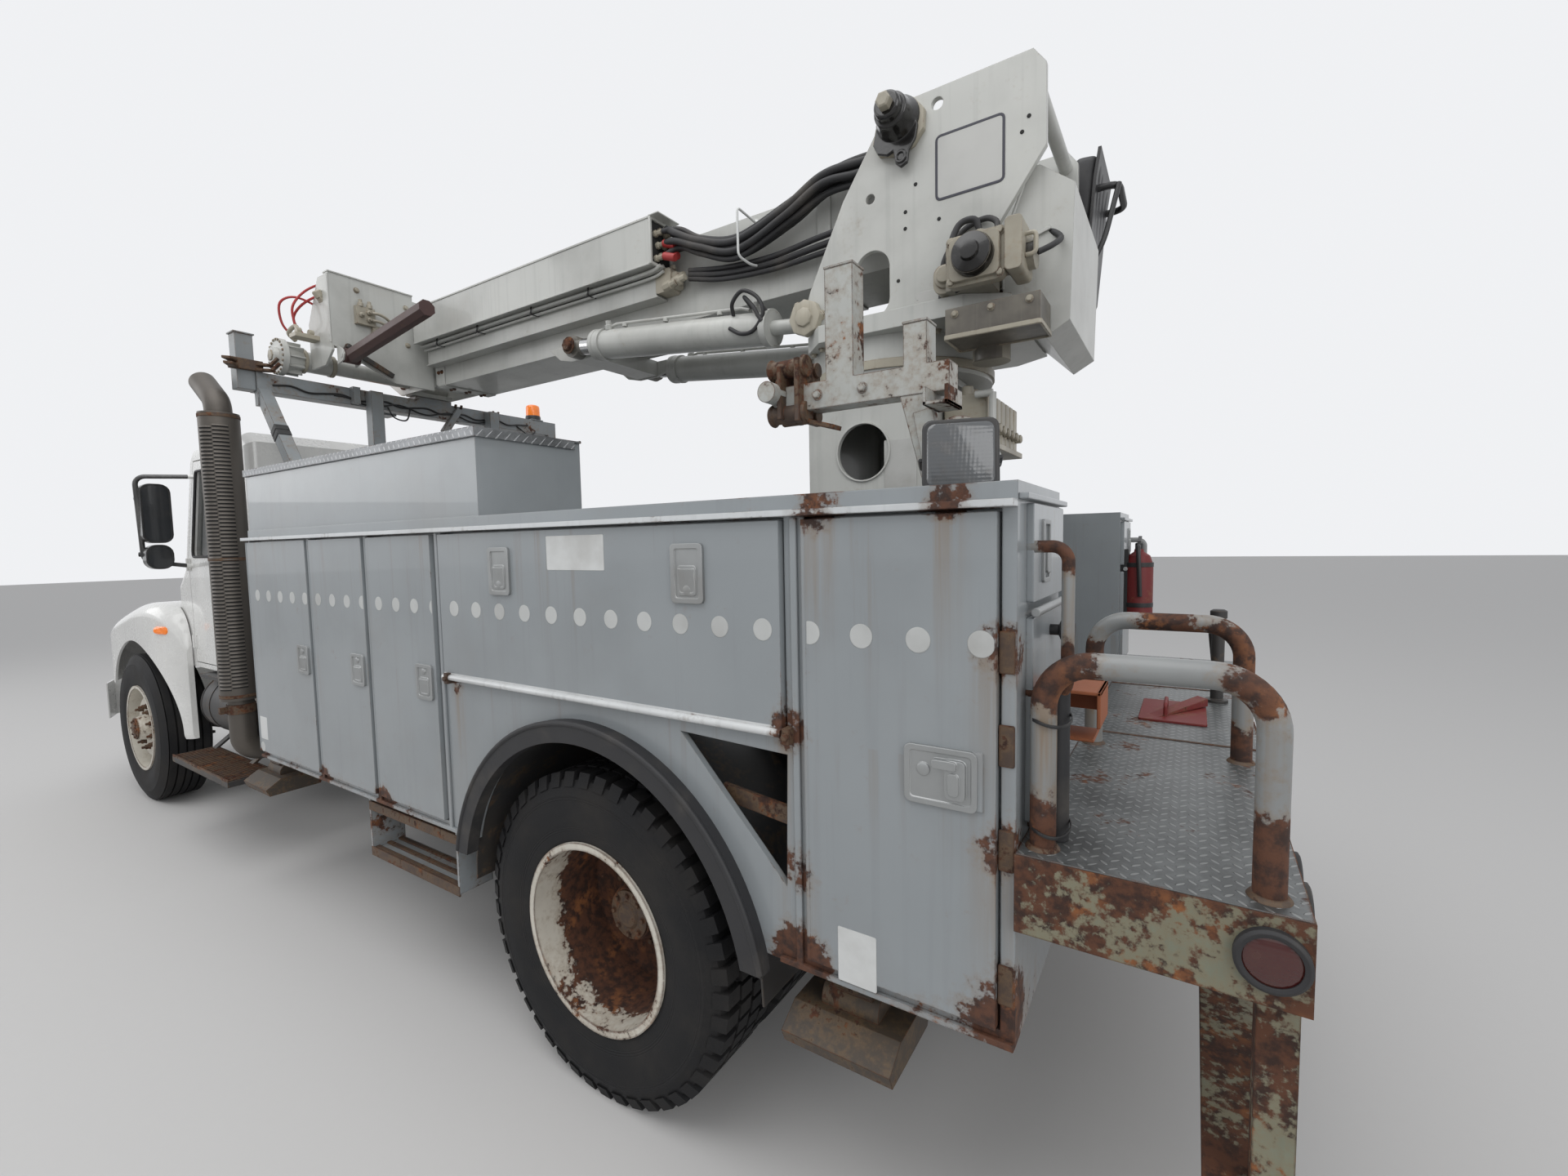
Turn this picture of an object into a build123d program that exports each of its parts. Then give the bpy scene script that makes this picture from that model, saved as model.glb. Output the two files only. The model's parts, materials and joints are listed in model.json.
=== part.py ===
from build123d import *
import os
from math import cos, sin, radians, atan2

os.makedirs("parts", exist_ok=True)

# Digger derrick utility truck, millimetres: X forward, Y to its left, Z up.
# Stations along the body are measured from the rear axle, those of the cab from the front axle.
wheelbase = 4650
tail_reach = 1710
nose_reach = 1010
rear_axle_x = tail_reach - (tail_reach + wheelbase + nose_reach) / 2
front_axle_x = rear_axle_x + wheelbase

# Running gear
tyre_radius = 515
tyre_half = 140
rim_radius = 298
bead_radius = 286
bead_half = 120
front_track_half = 1020
dual_inner_y = 720
dual_outer_y = 1050
kingpin_y = 880
spindle_radius = 35
rear_spindle_radius = 50
running_fit = 0.1
seat_gap = 0.3
moving_gap = 6

# Frame
rail_y = 430
rail_web = 9
rail_flange = 75
rail_low = 760
rail_top = 1020
rail_rear = rear_axle_x - 1256
rail_front = front_axle_x + 780

# Utility body
body_half = 1205
body_inner = 770
body_rear = rail_rear
body_front = rear_axle_x + 2332
body_floor = 714
body_top = 1825
sheet = 25
skin = 18
door_thick = 38
door_face = body_half + 15
door_top = 1768
drop_door_low = 1282
raised_rear = rear_axle_x + 450
raised_top = 2108
arch_x = rear_axle_x - 40
arch_z = 560
arch_radius = 600
flare_width = 50
deck_top = 1117
deck_plate = 20
tail_low = 965

# Cab
cab_rear = front_axle_x - 1750
cab_half = 1000
cab_wall = 38
cab_floor = 1065
cab_roof = 2400
cowl_x = front_axle_x - 480
hood_gap = 8

# Derrick
turret_x = rear_axle_x - 540
pedestal_half_x = 240
pedestal_half_y = 320
bearing_low = 2300
turntable_low = bearing_low + 130
turntable_top = turntable_low + 60
plate_y = 320
plate_thick = 20
pivot = (rear_axle_x - 672, 3110)
barrel_pin = (rear_axle_x - 305, 2543)
rod_pin = (rear_axle_x + 1038, 2690)
cylinder_y = 265
barrel_radius = 65
rod_radius = 38
pin_radius = 35
boom_low = 2722
boom_high = 3076
boom_half = 165
boom_wall = 12
boom_front = rear_axle_x + 2420
slide_pad = 6


def block(x, y, z, mode=Mode.ADD):
    with Locations(((x[0] + x[1]) / 2, (y[0] + y[1]) / 2, (z[0] + z[1]) / 2)):
        Box(x[1] - x[0], y[1] - y[0], z[1] - z[0], mode=mode)


def side_plate(points, y, mode=Mode.ADD):
    """An outline of (x, z) points, as thick as from y[0] to y[1]."""
    with BuildSketch(Plane.XZ.offset(-y[1])) as outline:
        with BuildLine():
            Polyline(*points, close=True)
        make_face()
    extrude(outline.sketch, amount=y[1] - y[0], mode=mode)


def cross_plate(points, x, mode=Mode.ADD):
    """An outline of (y, z) points, as thick as from x[0] to x[1]."""
    with BuildSketch(Plane.YZ.offset(x[0])) as outline:
        with BuildLine():
            Polyline(*points, close=True)
        make_face()
    extrude(outline.sketch, amount=x[1] - x[0], mode=mode)


def bar(start, end, radius, mode=Mode.ADD):
    """A round bar from one point to another."""
    run = Vector(*end) - Vector(*start)
    with BuildSketch(Plane(origin=start, z_dir=run)) as disc:
        Circle(radius)
    extrude(disc.sketch, amount=run.length, mode=mode)


def strut(start, end, across, deep, mode=Mode.ADD):
    """A square bar from one point to another, `across` wide along X or Y."""
    run = Vector(*end) - Vector(*start)
    side = Vector(1, 0, 0) if abs(run.X) < 0.5 * run.length else Vector(0, 1, 0)
    with BuildSketch(Plane(origin=start, x_dir=side, z_dir=run)) as square:
        Rectangle(across, deep)
    extrude(square.sketch, amount=run.length, mode=mode)


def tube_path(points, radius, bend):
    """A round tube along straight runs joined by arcs."""
    with BuildLine() as path:
        FilletPolyline(*points, radius=bend)
    with BuildSketch(path.line ^ 0) as disc:
        Circle(radius)
    sweep(disc.sketch, path=path.line)


def turned(centre, outline, side=1, mode=Mode.ADD):
    """A full turn of (y, radius) points about a line along Y through (x, z)."""
    with BuildSketch(Plane.XY.offset(centre[1])) as half:
        with BuildLine():
            Polyline(*[(centre[0] + radius, side * y) for y, radius in outline], close=True)
        make_face()
    revolve(half.sketch, axis=Axis((centre[0], 0, centre[1]), (0, 1, 0)), mode=mode)


def save(builder, name):
    builder.part.label = name
    export_step(builder.part, f"parts/{name}.step")


def mirrored(span, side):
    """A span of y on the left side, or its mirror image on the right."""
    return span if side > 0 else (-span[1], -span[0])


sides = (("left", 1), ("right", -1))

# Frame rails: two channels that open inwards, joined by cross members
cross_members = (-1190, -430, 430, 1500, 2420, 3300, 5360)
with BuildPart() as frame_rails:
    for name, side in sides:
        web = rail_y - rail_web
        tip = rail_y - rail_flange
        channel = ((rail_y, rail_low), (rail_y, rail_top), (tip, rail_top), (tip, rail_top - rail_web),
                   (web, rail_top - rail_web), (web, rail_low + rail_web), (tip, rail_low + rail_web),
                   (tip, rail_low))
        cross_plate([(side * y, z) for y, z in channel], (rail_rear, rail_front))
    for station in cross_members:
        x = rear_axle_x + station
        block((x - 35, x + 35), (-web - 1, web + 1), (rail_low + 40, rail_top - 60))
save(frame_rails, "frame_rails")


def leaf_pack(x, y, low, high, half, leaf, side):
    """Three bowed leaves on one another, the lowest the shortest."""
    for count, share in enumerate((1.0, 0.72, 0.45)):
        reach = half * share
        rise = (high - low) * share * share
        base = low - count * leaf
        with BuildSketch(Plane.XZ.offset(-side * y + 40)) as bow:
            with BuildLine():
                ThreePointArc((x - reach, base + rise), (x, base), (x + reach, base + rise))
                Line((x + reach, base + rise), (x + reach, base + rise + leaf))
                ThreePointArc((x + reach, base + rise + leaf), (x, base + leaf), (x - reach, base + rise + leaf))
                Line((x - reach, base + rise + leaf), (x - reach, base + rise))
            make_face()
        extrude(bow.sketch, amount=-80)


# Front axle: a dropped beam with an eye for each kingpin, on leaf springs under the rails
eye_low = tyre_radius - 60
eye_high = tyre_radius + 60
kingpin_radius = 20
spring_y = 385
with BuildPart() as front_axle:
    beam = ((-850, 565), (-850, 465), (-640, 385), (640, 385), (850, 465), (850, 565), (600, 485), (-600, 485))
    cross_plate(beam, (front_axle_x - 45, front_axle_x + 45))
    for name, side in sides:
        bar((front_axle_x, side * kingpin_y, eye_low), (front_axle_x, side * kingpin_y, eye_high), 40)
        bar((front_axle_x, side * kingpin_y, eye_low - 5), (front_axle_x, side * kingpin_y, eye_high + 5),
            kingpin_radius + running_fit, Mode.SUBTRACT)
        leaf_pack(front_axle_x, spring_y, 540, 700, 600, 16, side)
        block((front_axle_x - 70, front_axle_x + 70), mirrored((spring_y - 42, spring_y + 42), side), (470, 530))
        for end in (-600, 600):
            x = front_axle_x + end
            block((x - 40, x + 20 if end > 0 else x + 40), mirrored((spring_y - 42, spring_y + 42), side),
                  (690, rail_low))
save(front_axle, "front_axle")

# Steering knuckles: two yokes on the kingpin, a backing plate, an arm and the wheel's spindle
knuckle_reach = kingpin_y + 66
spindle_end = front_track_half + 70
for name, side in sides:
    with BuildPart() as knuckle:
        y = side * kingpin_y
        bar((front_axle_x, y, eye_low - 38), (front_axle_x, y, eye_high + 38), kingpin_radius)
        for low, high in ((eye_low - 38, eye_low - seat_gap), (eye_high + seat_gap, eye_high + 38)):
            bar((front_axle_x, y, low), (front_axle_x, y, high), 44)
            block((front_axle_x - 44, front_axle_x + 44), mirrored((kingpin_y, knuckle_reach), side), (low, high))
        block((front_axle_x - 44, front_axle_x + 44), mirrored((knuckle_reach - 20, knuckle_reach), side),
              (eye_low - 38, eye_high + 38))
        bar((front_axle_x, side * (knuckle_reach - 5), tyre_radius), (front_axle_x, side * spindle_end, tyre_radius),
            spindle_radius)
        strut((front_axle_x - 30, side * (kingpin_y - 10), eye_low - 28),
              (front_axle_x - 200, side * (kingpin_y - 60), eye_low - 28), 40, 18)
    save(knuckle, f"knuckle_{name}")

# Rear axle: housing, differential and leaf springs, with the drive shaft as a solid of its own
rear_spring_y = 485
housing_end = 575
gearbox_rear = front_axle_x - 1180
rear_spindle_end = 960
shaft_low = (rear_axle_x + 330, 0, 560)
shaft_high = (gearbox_rear - 8, 0, 760)
with BuildPart() as rear_axle:
    bar((rear_axle_x, -housing_end, tyre_radius), (rear_axle_x, housing_end, tyre_radius), 72)
    bar((rear_axle_x, -rear_spindle_end, tyre_radius), (rear_axle_x, rear_spindle_end, tyre_radius),
        rear_spindle_radius)
    with Locations((rear_axle_x, 0, tyre_radius)):
        Sphere(205)
    bar((rear_axle_x, 0, tyre_radius), shaft_low, 95)
    for name, side in sides:
        leaf_pack(rear_axle_x, rear_spring_y, 640, 800, 640, 20, side)
        block((rear_axle_x - 80, rear_axle_x + 80), mirrored((rear_spring_y - 42, rear_spring_y + 42), side),
              (tyre_radius, 642))
        for end in (-640, 640):
            x = rear_axle_x + end
            block((x - 40, x + 40), mirrored((rail_y, rear_spring_y + 42), side), (770, 930))
    bar(shaft_low, shaft_high, 45)
save(rear_axle, "rear_axle")


# A tyre's outer form as (distance from its middle, radius): bead, widest sidewall and shoulder on each side
tyre_stations = ((-120, 300), (-tyre_half, 410), (-108, tyre_radius), (108, tyre_radius), (tyre_half, 410), (120, 300))
tyre_facets = 36


def facets(x, y, radius):
    """A regular outline across the axle at x, with one of its flats towards the ground."""
    with BuildSketch(Plane.XZ.offset(-y)) as outline:
        with Locations((x, tyre_radius)):
            RegularPolygon(radius, tyre_facets, major_radius=False, rotation=180 / tyre_facets)
    return outline.sketch


def tyre(x, y, side):
    """One tyre, faceted so that it stands on a flat of its tread."""
    loft([facets(x, side * (y + d), radius) for d, radius in tyre_stations], ruled=True)
    extrude(facets(x, side * (y - bead_half - 10), bead_radius), amount=-side * 2 * (bead_half + 10),
            mode=Mode.SUBTRACT)


def wheel_ring(x, outline, side, mode=Mode.ADD):
    """A full turn of (y, radius) points about the axle at x."""
    turned((x, tyre_radius), outline, side, mode)


barrel_out = bead_radius - seat_gap
barrel_in = bead_radius - 11
flange = bead_half + seat_gap
flange_thick = 12


def rim_flanges(x, y, side):
    """The two lips that hold a tyre's beads."""
    for low, high in ((y - flange - flange_thick, y - flange), (y + flange, y + flange + flange_thick)):
        wheel_ring(x, ((low, barrel_in), (high, barrel_in), (high, rim_radius), (low, rim_radius)), side)


def hand_holes(x, y, side, count, pitch, radius):
    """The round holes in a wheel's disc."""
    for turn in range(count):
        angle = radians(360 * (turn + 0.5) / count)
        at = (x + pitch * cos(angle), tyre_radius + pitch * sin(angle))
        bar((at[0], side * (y - 30), at[1]), (at[0], side * (y + 30), at[1]), radius, Mode.SUBTRACT)


for name, side in sides:
    with BuildPart() as front_tyre:
        tyre(front_axle_x, front_track_half, side)
    save(front_tyre, f"tyre_front_{name}")

    # Steered wheel: its disc bulges outwards round the hub, with the brake drum inside
    disc_y = front_track_half + 52
    with BuildPart() as front_rim:
        low = front_track_half - flange - flange_thick
        high = front_track_half + flange + flange_thick
        wheel_ring(front_axle_x, ((low, barrel_in), (high, barrel_in), (high, barrel_out), (low, barrel_out)), side)
        rim_flanges(front_axle_x, front_track_half, side)
        wheel_ring(front_axle_x, ((disc_y - 22, barrel_in + 1), (disc_y - 10, barrel_in + 1), (disc_y + 36, 200),
                                  (disc_y + 36, 90), (disc_y + 26, 90), (disc_y + 26, 200)), side)
        hand_holes(front_axle_x, disc_y + 15, side, 5, 222, 26)
        wheel_ring(front_axle_x, ((knuckle_reach + 25, spindle_radius + running_fit),
                                  (spindle_end + 6, spindle_radius + running_fit),
                                  (spindle_end + 6, 0), (spindle_end + 80, 0), (spindle_end + 80, 78),
                                  (disc_y + 30, 92), (disc_y + 30, 140), (disc_y + 20, 140), (disc_y - 6, 190),
                                  (disc_y - 60, 205), (knuckle_reach + 12, 205), (knuckle_reach + 12, 190),
                                  (knuckle_reach + 25, 180)), side)
    save(front_rim, f"rim_front_{name}")

    with BuildPart() as rear_tyres:
        tyre(rear_axle_x, dual_inner_y, side)
        tyre(rear_axle_x, dual_outer_y, side)
    save(rear_tyres, f"tyres_rear_{name}")

    # Twin wheels: both discs meet half way, with the hub standing out in the outer wheel's dish
    disc_mid = (dual_inner_y + dual_outer_y) / 2
    with BuildPart() as rear_rims:
        low = dual_inner_y - flange - flange_thick
        high = dual_outer_y + flange + flange_thick
        wheel_ring(rear_axle_x, ((low, barrel_in), (high, barrel_in), (high, barrel_out), (low, barrel_out)), side)
        rim_flanges(rear_axle_x, dual_inner_y, side)
        rim_flanges(rear_axle_x, dual_outer_y, side)
        wheel_ring(rear_axle_x, ((disc_mid - 30, barrel_in + 1), (disc_mid + 30, barrel_in + 1),
                                 (disc_mid + 10, 210), (disc_mid + 10, 90), (disc_mid - 10, 90),
                                 (disc_mid - 10, 210)), side)
        hand_holes(rear_axle_x, disc_mid, side, 5, 222, 26)
        wheel_ring(rear_axle_x, ((housing_end + 8, rear_spindle_radius + running_fit),
                                 (rear_spindle_end + 6, rear_spindle_radius + running_fit),
                                 (rear_spindle_end + 6, 0), (rear_spindle_end + 60, 0), (rear_spindle_end + 60, 84),
                                 (rear_spindle_end + 20, 100), (disc_mid + 10, 110), (disc_mid + 8, 150),
                                 (disc_mid - 8, 150), (disc_mid - 30, 205), (housing_end + 8, 205)), side)
    save(rear_rims, f"rims_rear_{name}")

# Engine and gearbox, one plain mass that hangs on the rails
with BuildPart() as engine_block:
    block((front_axle_x - 430, front_axle_x + 540), (-290, 290), (720, 1330))
    block((gearbox_rear, front_axle_x - 430), (-170, 170), (690, 1010))
    for name, side in sides:
        block((front_axle_x - 60, front_axle_x + 60), mirrored((285, rail_y - 15), side),
              (rail_top + seat_gap, rail_top + 40))
save(engine_block, "engine_block")

# Tank on the left and battery box on the right, under the cab's doors, with their steps
tank_x = (cab_rear + 60, cab_rear + 860)
tank_y = 860
tank_z = 760
tank_radius = 190
step_x = (cab_rear - 120, cab_rear + 760)
step_y = (body_half - 195, body_half + 25)
with BuildPart() as side_tanks:
    bar((tank_x[0], tank_y, tank_z), (tank_x[1], tank_y, tank_z), tank_radius)
    for x in (tank_x[0] + 120, tank_x[1] - 120):
        block((x - 25, x + 25), (rail_y, tank_y), (tank_z - 60, tank_z + 60))
    block((tank_x[0] + 20, tank_x[1] - 20), (tank_y - 110, tank_y + 190), (tank_z + tank_radius - 6, 968))
    block((tank_x[0], tank_x[1]), (-1080, -640), (560, 940))
    for x in (tank_x[0] + 120, tank_x[1] - 120):
        block((x - 25, x + 25), (-650, -rail_y), (700, 880))
    for name, side in sides:
        block(step_x, mirrored(step_y, side), (470, 500))
        for x in (step_x[0] + 260, step_x[1] - 40):
            strut((x, side * (step_y[0] + 50), 485), (x, side * tank_y, 640), 50, 12)
save(side_tanks, "side_tanks")

# Exhaust stack: pipe from under the frame, up behind the cab, with a shield and a turned tip
stack_x = rear_axle_x + 2800
stack_y = 1140
shield_low = 935
shield_top = 2450
with BuildPart() as exhaust_stack:
    tube_path(((stack_x, rail_y + 1, 640), (stack_x, stack_y, 640), (stack_x, stack_y, shield_top + 60),
               (stack_x + 190, stack_y, shield_top + 190)), 58, 90)
    with BuildSketch(Plane.XY.offset(shield_low)) as shield:
        with Locations((stack_x, stack_y)):
            Circle(86)
            Circle(79, mode=Mode.SUBTRACT)
    extrude(shield.sketch, amount=shield_top - shield_low)
    for z in (shield_low + 60, (shield_low + shield_top) / 2, shield_top - 60):
        with Locations((stack_x, stack_y, z)):
            Cylinder(80, 20)
    block((stack_x - 20, stack_x + 20), (rail_y, rail_y + 60), (600, 800))
save(exhaust_stack, "exhaust_stack")

# Cab shell: floor, back wall, roof, pillars, cowl and the windscreen's frame
sill = 985
sill_inner = 850
cab_corner = 60
roof_front = front_axle_x - 880
screen_low_x = front_axle_x - 575
screen_low_z = 1640
cab_outline = ((cab_rear, sill), (cab_rear, cab_roof - 60), (cab_rear + 90, cab_roof), (roof_front, cab_roof - 20),
               (roof_front + 70, cab_roof - 90), (screen_low_x, screen_low_z), (cowl_x, 1560), (cowl_x, sill))
cab_inside = ((cab_rear + cab_wall, cab_floor), (cab_rear + cab_wall, cab_roof - 90),
              (cab_rear + 100, cab_roof - cab_wall), (roof_front - 10, cab_roof - cab_wall - 20),
              (roof_front + 30, cab_roof - 115), (screen_low_x - 55, screen_low_z - 20),
              (cowl_x - cab_wall, 1530), (cowl_x - cab_wall, cab_floor))
door_front = front_axle_x - 690
door_rear = cab_rear + 190
door_low = sill + 35
door_crown = cab_roof - 110
door_outline = ((door_rear, door_low), (door_rear, door_crown - 40), (door_rear + 50, door_crown),
                (roof_front - 30, door_crown), (door_front, screen_low_z + 60), (door_front, door_low))


def grown(points, by):
    """The same outline, larger or smaller by a margin all round."""
    with BuildSketch(Plane.XZ) as shape:
        with BuildLine():
            Polyline(*points, close=True)
        make_face()
        offset(amount=by, kind=Kind.INTERSECTION)
    return shape.sketch


def grown_plate(points, by, y, mode=Mode.ADD):
    """That outline as a plate from y[0] to y[1]."""
    face = grown(points, by)
    extrude(face.moved(Location((0, y[1], 0))), amount=y[1] - y[0], mode=mode)


with BuildPart() as cab_shell:
    side_plate(cab_outline, (-cab_half, cab_half))
    shoulders = cab_shell.edges().filter_by(lambda edge: abs(edge.center().Y) == cab_half and edge.center().Z > 1590)
    fillet(shoulders, cab_corner)
    side_plate(cab_inside, (-cab_half + cab_wall, cab_half - cab_wall), Mode.SUBTRACT)
    for name, side in sides:
        grown_plate(door_outline, moving_gap, mirrored((cab_half - cab_wall - 1, cab_half + 1), side), Mode.SUBTRACT)
    # the floor lies on the rails between the sills
    block((cab_rear - 1, cowl_x + 1), (-sill_inner, sill_inner), (sill - 1, rail_top + seat_gap), Mode.SUBTRACT)
    block((cab_rear - 5, cab_rear + cab_wall + 5), (-620, 620), (1660, 2210), Mode.SUBTRACT)
    lean = atan2(cab_roof - 90 - screen_low_z, roof_front + 70 - screen_low_x)
    screen_mid = ((roof_front + 70 + screen_low_x) / 2, (cab_roof - 90 + screen_low_z) / 2)
    with BuildSketch(Plane(origin=(screen_mid[0], 0, screen_mid[1]), x_dir=(0, 1, 0),
                           z_dir=(sin(lean), 0, -cos(lean)))) as screen:
        RectangleRounded(2 * cab_half - 200, 560, 60)
    extrude(screen.sketch, amount=200, both=True, mode=Mode.SUBTRACT)
save(cab_shell, "cab_shell")

# Doors of the cab, with the window cut and the mirror's bracket
window_rear = door_rear + 70
window_low = 1700
window_outline = ((window_rear, window_low), (window_rear, door_crown - 90), (window_rear + 30, door_crown - 60),
                  (roof_front - 60, door_crown - 60), (door_front - 90, window_low + 40),
                  (door_front - 90, window_low))
mirror_x = door_front - 60
mirror_mid = 1170
# housings of each mirror pair as (width, height, centre height, corner radius)
mirror_heads = ((140, 360, 1970, 50), (128, 150, 1705, 55))
hinge_barrel = 7.7
cab_hinge = (door_front + moving_gap / 2, cab_half + seat_gap + hinge_barrel)
for name, side in sides:
    with BuildPart() as cab_door:
        grown_plate(door_outline, 0, mirrored((cab_half - cab_wall, cab_half), side))
        grown_plate(window_outline, 0, mirrored((cab_half - cab_wall - 1, cab_half + 1), side), Mode.SUBTRACT)
        tube_path(((mirror_x, side * (cab_half - 10), 1640), (mirror_x, side * 1225, 1680),
                   (mirror_x - 60, side * 1250, 2190), (front_axle_x - 912, side * (cab_half - 10), 2200)), 13, 50)
        for z in (door_low + 90, window_low - 90):
            bar((cab_hinge[0], side * cab_hinge[1], z), (cab_hinge[0], side * cab_hinge[1], z + 80), hinge_barrel)
            block((door_front - 30, cab_hinge[0]), mirrored((cab_half - 1, cab_half + 5), side), (z, z + 80))
        for width, height, z, corner in mirror_heads:
            with BuildSketch(Plane.YZ.offset(mirror_x - 85)) as head:
                with Locations((side * mirror_mid, z)):
                    RectangleRounded(width, height, corner)
            extrude(head.sketch, amount=70)
    save(cab_door, f"door_{name}")
    with BuildPart() as door_glass:
        grown_plate(window_outline, -seat_gap, mirrored((cab_half - 24, cab_half - 18), side))
    save(door_glass, f"door_glass_{name}")

# Windscreen and rear window
glass_depth = 20
with BuildPart() as cab_glass:
    with BuildSketch(Plane(origin=(screen_mid[0] - glass_depth * abs(sin(lean)), 0,
                                   screen_mid[1] - glass_depth * abs(cos(lean))), x_dir=(0, 1, 0),
                           z_dir=(sin(lean), 0, -cos(lean)))) as pane:
        RectangleRounded(2 * cab_half - 200 - 2 * seat_gap, 560 - 2 * seat_gap, 60 - seat_gap)
    extrude(pane.sketch, amount=8)
    block((cab_rear + 12, cab_rear + 18), (-620 + seat_gap, 620 - seat_gap), (1660 + seat_gap, 2210 - seat_gap))
save(cab_glass, "cab_glass")

# Dashboard with the steering wheel on its column
with BuildPart() as dashboard:
    side_plate(((cowl_x - cab_wall - seat_gap, 1250), (cowl_x - cab_wall - seat_gap, 1520),
                (cowl_x - 260, 1540), (cowl_x - 330, 1450), (cowl_x - 300, 1250)), (-930, 930))
    bar((cowl_x - 280, 420, 1450), (cowl_x - 470, 420, 1640), 30)
    wheel_plane = Plane(origin=(cowl_x - 470, 420, 1640), z_dir=(-0.83, 0, 0.55))
    with BuildSketch(wheel_plane) as wheel:
        Circle(225)
        Circle(200, mode=Mode.SUBTRACT)
        Circle(45)
        for turn in (90, 210, 330):
            with Locations(Location((0, 0, 0), (0, 0, turn))):
                with Locations((120, 0)):
                    Rectangle(200, 24)
    extrude(wheel.sketch, amount=24)
save(dashboard, "dashboard")

# Driver's seat and the two-person bench beside it
with BuildPart() as seats:
    for low, high in ((180, 700), (-860, 60)):
        block((cab_rear + 330, cab_rear + 840), (low, high), (1300, 1430))
        side_plate(((cab_rear + 330, 1310), (cab_rear + 450, 1320), (cab_rear + 300, 2080), (cab_rear + 190, 2070)),
                   (low, high))
        block((cab_rear + 380, cab_rear + 760), (low + 60, high - 60), (cab_floor + seat_gap, 1310))
save(seats, "seats")

# Hood with its fenders, one moulding that tilts forward, hollow and open below
hood_rear = cowl_x + hood_gap
hood_front = front_axle_x + 900
hood_wall = 14
hood_base = 450
hood_sill = 1000
nose_sill = 820
fender_half = 1150
fender_inner = 400
fender_rear = front_axle_x - 640
fender_low = 500
fender_nose = 775
fender_arch = 595
fender_shoulder = 90
arch_mid = tyre_radius + 20
hood_pin = (front_axle_x + 880, 800)
hood_pin_radius = 14
hood_lug = (470, 490)
# The hood's cross sections as (x, half width, top, corner radius)
hood_stations = ((hood_rear, 860, 1600, 170), (front_axle_x + 220, 690, 1520, 160),
                 (front_axle_x + 700, 590, 1420, 150), (hood_front, 540, 1300, 120))
# The fenders' cross sections as (x, outer side, top)
fender_stations = ((fender_rear, 1036, 1150), (fender_rear + 90, 1090, 1320), (fender_rear + 250, 1130, 1390),
                   (front_axle_x - 60, fender_half, 1375), (front_axle_x + 330, fender_half, 1290),
                   (front_axle_x + 680, 1120, 1170), (hood_front, 950, 1000))


def hood_form(wall):
    """The hood's outside, or with a wall thickness its inside, which runs out at the rear."""
    with BuildPart() as form:
        for x, half, top, corner in hood_stations:
            shift = -wall if x == hood_front else -1 if wall else 0
            with BuildSketch(Plane.YZ.offset(x + shift)):
                with Locations((0, (top - wall + hood_base - wall) / 2)):
                    RectangleRounded(2 * (half - wall), top - hood_base, corner - wall)
        loft()
    return form.part


def fender_form(side, wall):
    """A fender's outside, or with a wall thickness its inside."""
    with BuildPart() as form:
        for x, outer, top in fender_stations:
            shift = wall if x == fender_rear else -wall if x == hood_front else 0
            across = outer - wall - fender_inner
            with BuildSketch(Plane.YZ.offset(x + shift)):
                with Locations((side * (fender_inner + across / 2), (top + hood_base) / 2 - wall)):
                    RectangleRounded(across, top - hood_base, fender_shoulder - wall)
        loft()
    return form.part


with BuildPart() as hood:
    add(hood_form(0))
    for name, side in sides:
        add(fender_form(side, 0))
    add(hood_form(hood_wall), mode=Mode.SUBTRACT)
    for name, side in sides:
        add(fender_form(side, hood_wall), mode=Mode.SUBTRACT)
    # room for the cowl behind, the engine bay below and the steered wheels at the sides
    block((fender_rear - 20, hood_rear), (-cab_half - moving_gap, cab_half + moving_gap), (hood_base - 10, 1700),
          Mode.SUBTRACT)
    block((fender_rear - 20, hood_front - 300), (-780, 780), (hood_base - 20, hood_sill), Mode.SUBTRACT)
    block((hood_front - 301, hood_front + 1), (-600, 600), (hood_base - 20, nose_sill), Mode.SUBTRACT)
    for name, side in sides:
        bar((front_axle_x, side * 300, arch_mid), (front_axle_x, side * (fender_half + 20), arch_mid), fender_arch,
            Mode.SUBTRACT)
        block((front_axle_x, hood_front + 1), mirrored((500, fender_half + 20), side), (hood_base - 20, fender_nose),
              Mode.SUBTRACT)
        block((fender_rear - 20, front_axle_x), mirrored((500, fender_half + 20), side), (hood_base - 20, fender_low),
              Mode.SUBTRACT)
        # rest on the cowl, and the lug of the hinge at the front
        block((hood_rear - hood_gap + seat_gap, hood_rear + 30), mirrored((860 - hood_wall, 858), side), (1300, 1400))
        bar((hood_pin[0], side * hood_lug[0], hood_pin[1]), (hood_pin[0], side * hood_lug[1], hood_pin[1]),
            hood_pin_radius + 5)
        block((hood_pin[0] - 19, hood_front - 1), mirrored(hood_lug, side), (hood_pin[1], nose_sill + 60))
        bar((hood_pin[0], side * (hood_lug[0] - 1), hood_pin[1]), (hood_pin[0], side * (hood_lug[1] + 1), hood_pin[1]),
            hood_pin_radius + running_fit, Mode.SUBTRACT)
save(hood, "hood")

# Grille and headlamps in the hood's face
with BuildPart() as grille:
    block((hood_front + seat_gap, hood_front + 20), (-430, 430), (900, 1290))
    for count in range(6):
        z = 945 + count * 60
        block((hood_front + 8, hood_front + 21), (-390, 390), (z - 15, z + 15), Mode.SUBTRACT)
    for name, side in sides:
        block((hood_front + seat_gap, hood_front + 30), mirrored((640, 900), side), (785, 890))
save(grille, "grille")

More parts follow.
